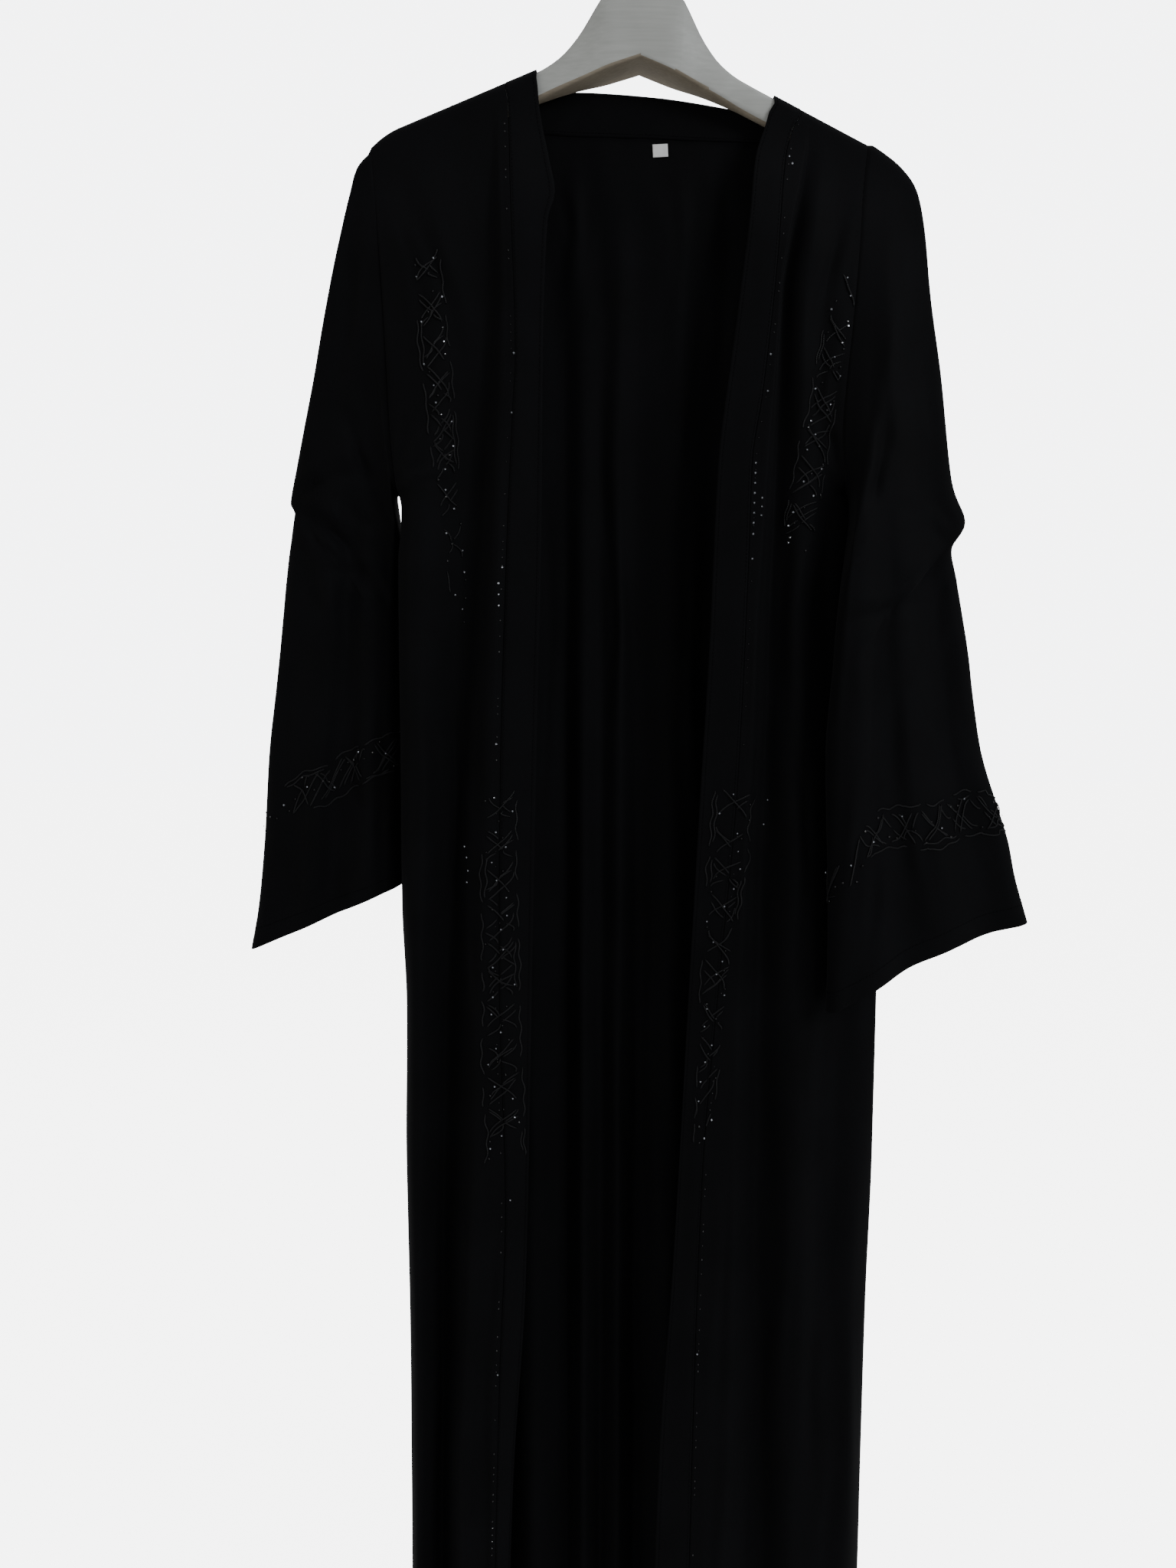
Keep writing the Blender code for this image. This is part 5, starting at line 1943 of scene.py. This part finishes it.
@dataclass
class Sleeve:
    """A sleeve, from the armhole to its hem, with the embroidery round it."""

    right: bool
    sheet: Sheet | None = None

    def stations(self) -> list[tuple[str, float]]:
        """List where round half a section its points lie: round the top, between, and round the bottom.

        Returns:
            A kind and an angle or a share for each.
        """
        found = [("top", math.radians(15 * step)) for step in range(7)]
        found += [("middle", step / 44) for step in range(1, 44)]
        return found + [("bottom", math.radians(90 - 15 * step)) for step in range(7)]

    def down(self, station: tuple[str, float], length: float, out_radius: float, in_radius: float) -> float:
        """Find how far down a section a station lies.

        Args:
            station: The station.
            length: The section's length.
            out_radius: Radius of its outer end.
            in_radius: Radius of its inner end.

        Returns:
            The distance.
        """
        kind, value = station
        if kind == "top":
            return out_radius * (1.0 - math.cos(value))
        if kind == "bottom":
            return length - in_radius * (1.0 - math.cos(value))
        return out_radius + value * (length - out_radius - in_radius)

    def ring(self, position: float) -> list[Point]:
        """Place one ring of the sleeve.

        Args:
            position: Where along it, as a row of its table with a fraction.

        Returns:
            The ring's points.
        """
        table = RIGHT_SLEEVE if self.right else LEFT_SLEEVE
        folds = RIGHT_SLEEVE_FOLDS if self.right else LEFT_SLEEVE_FOLDS
        outward = 1.0 if self.right else -1.0
        bow = RIGHT_HEM_BOW if self.right else 0.0
        keys = range(len(table))
        row = SleeveRow("", *[
            through(keys, [getattr(entry, name) for entry in table], position)
            for name in SleeveRow._fields[1:]
        ])
        top = armhole_top(self.right)
        loop_length = top - UNDERARM
        start = np.array((armhole_x(top, self.right), 0.0, top))
        end = np.array((armhole_x(UNDERARM, self.right), 0.0, UNDERARM))
        outer, inner = np.array((row.out_x, 0.0, row.out_z)), np.array((row.in_x, 0.0, row.in_z))
        length = float(np.linalg.norm(inner - outer))
        t = position / (len(table) - 1)
        front, back = [], []
        for station in self.stations():
            down = self.down(station, length, row.out_radius, row.in_radius)
            w = down / length
            loop_down = self.down(station, loop_length, WRAP_RADIUS, ARMHOLE_UNDER_RADIUS)
            loop_z = top - loop_down
            lying = np.array((armhole_x(loop_z, self.right), 0.0, loop_z))
            centre = (1.0 - w) * outer + w * inner + (lying - (1.0 - w) * start - w * end) * (1.0 - t) ** 3
            centre[2] += bow * math.sin(math.pi * w) * t**4
            depth = half_depth(down, length - down, row.out_radius, row.depth, row.in_radius)
            gap = ARMHOLE_SEAM + (UNDERARM_SEAM - ARMHOLE_SEAM) * w**6
            near = max(0.0, 1.0 - position)
            centre[0] += outward * gap * near
            if position == 0:
                centre = lying + np.array((outward * gap, 0.0, 0.0))
                depth = half_depth(
                    loop_down, loop_length - loop_down, WRAP_RADIUS, ARMHOLE_DEPTH, ARMHOLE_UNDER_RADIUS
                )
            middle = row.lean * eased(w)
            proud_front, proud_back = 0.0, 0.0
            for fold in folds:
                bump = (
                    eased(1.0 - abs(w - fold.at) / fold.width)
                    * eased((t - fold.start) / (fold.full - fold.start))
                )
                proud_front += fold.front * bump
                proud_back += fold.back * bump
            front.append((centre[0], middle - depth - proud_front, centre[2]))
            back.append((centre[0], middle + depth + proud_back, centre[2]))
        return front + back[-2:0:-1]

    def positions(self, count: int) -> list[float]:
        """Space the rings evenly along the sleeve.

        Args:
            count: How many rings.

        Returns:
            Their positions.
        """
        table = RIGHT_SLEEVE if self.right else LEFT_SLEEVE
        middles = np.array([((row.out_x + row.in_x) / 2, (row.out_z + row.in_z) / 2) for row in table])
        reach = np.concatenate([[0.0], np.cumsum(np.hypot(*np.diff(middles, axis=0).T) + 1.0)])
        return np.interp(np.linspace(0.0, reach[-1], count), reach, np.arange(len(table))).tolist()

    def build(self) -> "Sleeve":
        """Build the sleeve and its trims.

        Returns:
            The sleeve itself.
        """
        name = "right" if self.right else "left"
        positions = self.positions(150)
        grid = np.array([self.ring(position) for position in positions])
        self.sheet = Sheet(
            f"sleeve_{name}_cloth", "sleeve_" + name, grid, Side.FRONT,
            RIGHT_SLEEVE_CREASES if self.right else LEFT_SLEEVE_CREASES, 51 + self.right,
            (0.33, 0.72) if self.right else (0.30, 0.68), 0.135,
            (f"front_{name}_cloth", "back_cloth"), ring=True, steady_from=7.0, ripple=1.3,
        ).build()
        self.embroider(positions)
        sew(self.sheet, (), (-4.5,), False)
        return self

    def embroider(self, positions: Sequence[float]) -> None:
        """Lay a strip of cord and stones right round the sleeve, above its hem.

        Args:
            positions: The rings' positions.
        """
        name = "right" if self.right else "left"
        places = GridPlaces(self.sheet.grid, True, Side.FRONT)
        band = RIGHT_SLEEVE_BAND if self.right else LEFT_SLEEVE_BAND
        stations = self.stations()
        columns = self.sheet.grid.shape[1]
        half = len(stations) - 1
        rows = []
        for column in range(columns + 1):
            share = column / half if column <= half else (columns - column) / half
            position = along(band, share)
            rows.append(float(np.interp(position, positions, np.arange(len(positions)))))
        line = np.array([places.at(row, column).point for column, row in enumerate(rows)])
        reach = np.concatenate([[0.0], np.cumsum(np.linalg.norm(np.diff(line, axis=0), axis=1))])
        spacing = np.linalg.norm(np.diff(self.sheet.grid, axis=0), axis=-1)

        def surface(u: float, share: float) -> Place:
            """Find a place on the strip.

            Args:
                u: How far round.
                share: How far across, as a share of its half-width.

            Returns:
                The place.
            """
            column = float(np.interp(u, reach, np.arange(columns + 1)))
            row = float(np.interp(column, np.arange(columns + 1), rows))
            step = spacing[int(min(row, len(spacing) - 1)), int(column) % columns]
            return places.at(row + share * 17.5 / max(step, 1.0), column)

        fullness = RIGHT_SLEEVE_FULLNESS if self.right else LEFT_SLEEVE_FULLNESS
        runs = Braid(float(reach[-1]), surface, fullness, 90 + self.right).lay()
        cords = tube(f"cord_sleeve_{name}", runs, CORD_RADIUS, CORD_FLATNESS, 6, CORD)
        self.sheet.trims.append(cords)
        chance = np.random.default_rng(15 + self.right)
        clear, jet = [], []
        for step in range(48):
            place = surface(float(reach[-1]) * (step + 0.5) / 48, float(chance.uniform(-0.8, 0.8)))
            spot = Spot(place.point + place.normal * 1.7, place.normal, float(chance.uniform(0.8, 1.1)))
            (clear if step % 4 == 0 else jet).append(spot)
        self.sheet.trims.append(clear_stone(f"clear_stone_sleeve_{name}").build(clear))
        self.sheet.trims.append(jet_stone(f"jet_stone_sleeve_{name}").build(jet))


@dataclass
class Hanger:
    """The painted wooden hanger with its steel hook."""

    corner_steps: int = 5
    stations: int = 46

    def section(self, x: float, size: float) -> list[Point]:
        """Place one section of the wood.

        Args:
            x: Where along the level hanger.
            size: Its size, smaller at the rounded ends.

        Returns:
            The section's points.
        """
        reach = abs(x)
        top, bottom = hanger_top(x), along(BELLY, reach)
        half, corner = along(HALF_DEPTHS, reach) * size, along(CORNERS, reach) * size
        middle, tall = (top + bottom) / 2, (top - bottom) / 2 * size
        points = []
        for turn in range(4):
            sign_y, sign_z = (1, 1, -1, -1)[(turn + 1) % 4], (1, 1, -1, -1)[turn]
            for step in range(self.corner_steps):
                angle = math.radians(90 * turn + 90 * step / (self.corner_steps - 1))
                level_z = middle + sign_z * (tall - corner) + corner * math.sin(angle)
                turned_x, turned_z = rolled(x, level_z)
                points.append((turned_x, sign_y * (half - corner) + corner * math.cos(angle), turned_z))
        return points

    def wood(self) -> bpy.types.Object:
        """Build the wood.

        Returns:
            The object.
        """
        reaches = sorted(
            {0.0, 20.0, 28.0, 33.0, 87.0} | {float(x) for x in np.linspace(0, 210, self.stations)},
        )
        sized = [(reach, 1.0) for reach in reaches]
        sized += [
            (ARM_END - back, size)
            for back, size in ((4.5, 0.985), (2.4, 0.92), (0.8, 0.78), (0.2, 0.6), (0.0, 0.45))
        ]
        stations = [(-reach, size) for reach, size in reversed(sized[1:])] + sized
        rings = [self.section(x, size) for x, size in stations]
        count = len(rings[0])
        faces: list[tuple[int, ...]] = [
            (ring * count + spot, ring * count + (spot + 1) % count,
             (ring + 1) * count + (spot + 1) % count, (ring + 1) * count + spot)
            for ring in range(len(rings) - 1) for spot in range(count)
        ]
        faces.append(tuple(reversed(range(count))))
        faces.append(tuple((len(rings) - 1) * count + spot for spot in range(count)))
        points = np.array([point for ring in rings for point in ring])
        item = make_mesh("hanger_wood", points, faces, PAINT, True)
        # Second material: the darker, warmer painted shade of the underside
        item.data.materials.append(UNDERSIDE_SHADE.material())
        item.data.flip_normals()
        return item

    def bored(self, wood: bpy.types.Object) -> None:
        """Drill the hole that the hook's stem stands in, and give the down-facing faces a darker, warmer
        colour as painted shade.

        Args:
            wood: The wood.
        """
        bpy.ops.mesh.primitive_cylinder_add(vertices=32, radius=2.35 * MM, depth=(BORE_DEPTH + 6.0) * MM)
        drill = bpy.context.active_object
        middle_x, middle_z = rolled(0.0, SHOULDER_TOP[0][1] + (6.0 - BORE_DEPTH) / 2)
        drill.data.transform(
            Matrix.Translation((middle_x * MM, 0.0, middle_z * MM)) @ Matrix.Rotation(ROLL, 4, "Y")
        )
        bore = wood.modifiers.new("bore", "BOOLEAN")
        bore.operation, bore.solver, bore.object = "DIFFERENCE", "EXACT", drill
        settled(wood)
        bpy.data.objects.remove(drill)
        for face in wood.data.polygons:
            # Low faces that look down take the second material: painted shade of the underside
            face.material_index = 1 if face.normal.z < -0.55 and face.center.z < -0.1 else 0
        wood.data.shade_smooth()
        wood.data.set_sharp_from_angle(angle=math.radians(42))

    def hook(self) -> bpy.types.Object:
        """Build the wire hook.

        Returns:
            The object.
        """
        bottom = SHOULDER_TOP[0][1] - BORE_DEPTH + BORE_FLOOR_GAP
        path = [(0.0, bottom), (0.0, bottom + 0.3), (0.0, bottom + 1.0), (0.0, HOOK_STEM_TOP)]
        pull = 0.5 * (PIVOT_Z - HOOK_STEM_TOP)
        bends = (
            (0.0, HOOK_STEM_TOP), (0.0, HOOK_STEM_TOP + pull), (HOOK_RADIUS, PIVOT_Z - pull),
            (HOOK_RADIUS, PIVOT_Z),
        )
        for step in range(1, 17):
            t = step / 16
            shares = ((1 - t) ** 3, 3 * t * (1 - t) ** 2, 3 * t * t * (1 - t), t**3)
            path.append(
                tuple(sum(bend[axis] * share for bend, share in zip(bends, shares)) for axis in (0, 1)),
            )
        turns = [step / 64 for step in range(1, 64)] + [0.990, 0.995, 0.998, 1.0]
        path += [
            (
                HOOK_RADIUS * math.cos(HOOK_TIP_ANGLE * turn),
                PIVOT_Z + HOOK_RADIUS * math.sin(HOOK_TIP_ANGLE * turn),
            )
            for turn in turns
        ]
        run = [
            Place(Vector((x, 0.0, z)), Vector((0.0, -1.0, 0.0)))
            for x, z in (rolled(*point) for point in path)
        ]
        return tube("hook_wire", [run], WIRE_RADIUS, 1.0, 20, STEEL)

    def build(self) -> "Hanger":
        """Build the hanger and its hook.

        Returns:
            The hanger itself.
        """
        wood = self.wood()
        self.bored(wood)
        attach(wood, "root")
        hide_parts("hanger")
        hook = self.hook()
        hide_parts("hook")
        return self


@dataclass(frozen=True)
class Tag:
    """The bare woven tag below the back neck."""

    centre: Flat = (14.0, -168.0)
    size: Flat = (12.5, 10.0)
    turn: float = math.radians(3)
    off_middle: float = 1.5
    thickness: float = 0.7

    def build(self, back: Sheet) -> None:
        """Lay the tag in front of the back.

        Args:
            back: The back.
        """
        tree = back.tree()
        turn = Matrix.Rotation(self.turn, 2)
        rows = []
        for line in range(11):
            row = []
            for column in range(13):
                offset = turn @ Vector(((column / 12 - 0.5) * self.size[0], (0.5 - line / 10) * self.size[1]))
                x, z = self.centre[0] + offset[0], self.centre[1] + offset[1]
                place = cast(tree, x, z)
                row.append((x, place.point.y - self.off_middle, z))
            rows.append(row)
        sheet = Sheet(
            "size_tag", "size_label", np.array(rows), Side.FRONT, (), 61, (0.0125, 0.010), 0.000125,
            ("back_cloth",), self.thickness, WEAVE, ripple=0.0,
        ).build()
        sheet.declare()


@dataclass(frozen=True)
class Lamp:
    """A soft area light."""

    name: str
    at: Point
    size: float
    power: float
    colour: tuple[float, float, float]

    def build(self, target: Vector) -> None:
        """Hang the light and aim it.

        Args:
            target: What it shines at.
        """
        data = bpy.data.lights.new(self.name, "AREA")
        data.shape = "SQUARE"
        data.size = self.size
        data.energy = self.power
        data.color = self.colour
        item = bpy.data.objects.new(self.name, data)
        item.location = self.at
        item.rotation_euler = (target - Vector(self.at)).to_track_quat("-Z", "Y").to_euler()
        bpy.context.scene.collection.objects.link(item)


@dataclass(frozen=True)
class Studio:
    """The floor, the lights and the camera."""

    air_light: float = 0.33
    air_seen: float = 6.0
    paper_glow: float = 5.6
    lamps: tuple[Lamp, ...] = (
        Lamp("key", (1.9, -1.7, 0.6), 1.0, 31.0, (0.93, 0.96, 1.0)),
        Lamp("fill", (-2.2, -1.2, 0.0), 1.2, 9.0, (1.0, 0.98, 0.95)),
        Lamp("top", (0.2, -0.2, 1.6), 1.4, 8.0, (0.96, 0.98, 1.0)),
        Lamp("rear", (-0.8, 2.2, 0.4), 1.6, 10.0, (1.0, 1.0, 1.0)),
    )

    def build(self) -> None:
        """Build the studio."""
        floor = make_mesh(
            "studio_floor",
            np.array([(x, y, -1620.0) for x, y in ((-9e3, -9e3), (9e3, -9e3), (9e3, 9e3), (-9e3, 9e3))]),
            [(0, 1, 2, 3)], STUDIO, False,
        )
        tree = STUDIO.material().node_tree
        paper = tree.nodes["Principled BSDF"]
        seen = add_node(tree, "ShaderNodeLightPath").outputs["Is Camera Ray"]
        glow = add_node(tree, "ShaderNodeMath", {"operation": "MULTIPLY"}, {0: seen, 1: self.paper_glow})
        paper.inputs["Emission Color"].default_value = (1.0, 1.0, 1.0, 1.0)
        tree.links.new(glow.outputs[0], paper.inputs["Emission Strength"])
        for lamp in self.lamps:
            lamp.build(Vector((0.0, 0.0, -0.6)))
        world = bpy.data.worlds.new("studio_air")
        world.use_nodes = True
        tree = world.node_tree
        background = tree.nodes["Background"]
        background.inputs["Color"].default_value = (0.97, 0.98, 1.0, 1.0)
        seen = add_node(tree, "ShaderNodeLightPath").outputs["Is Camera Ray"]
        level = add_node(
            tree, "ShaderNodeMapRange", {},
            {"Value": seen, "To Min": self.air_light, "To Max": self.air_seen},
        )
        tree.links.new(level.outputs[0], background.inputs["Strength"])
        bpy.context.scene.world = world
        data = bpy.data.cameras.new("camera")
        data.lens, data.sensor_width = 27.09, 36.0
        camera = bpy.data.objects.new("camera", data)
        camera.location = (-0.0456, -1.010, -0.5855)
        camera.rotation_euler = (math.radians(84), 0.0, 0.0)
        bpy.context.scene.collection.objects.link(camera)
        bpy.context.scene.camera = camera


def main() -> None:
    """Build the dressed cloak, its hanger and the studio."""
    logging.basicConfig(level=logging.INFO, format="%(name)s: %(message)s")
    Hanger().build()
    body = Body().build()
    sleeves = [Sleeve(right).build() for right in (False, True)]
    for sheet in [*body.sheets.values(), *(sleeve.sheet for sleeve in sleeves)]:
        sheet.declare()
    Tag().build(body.sheets["back"])
    Studio().build()
    LOG.info("all pieces built")


if __name__ == "__main__":
    main()
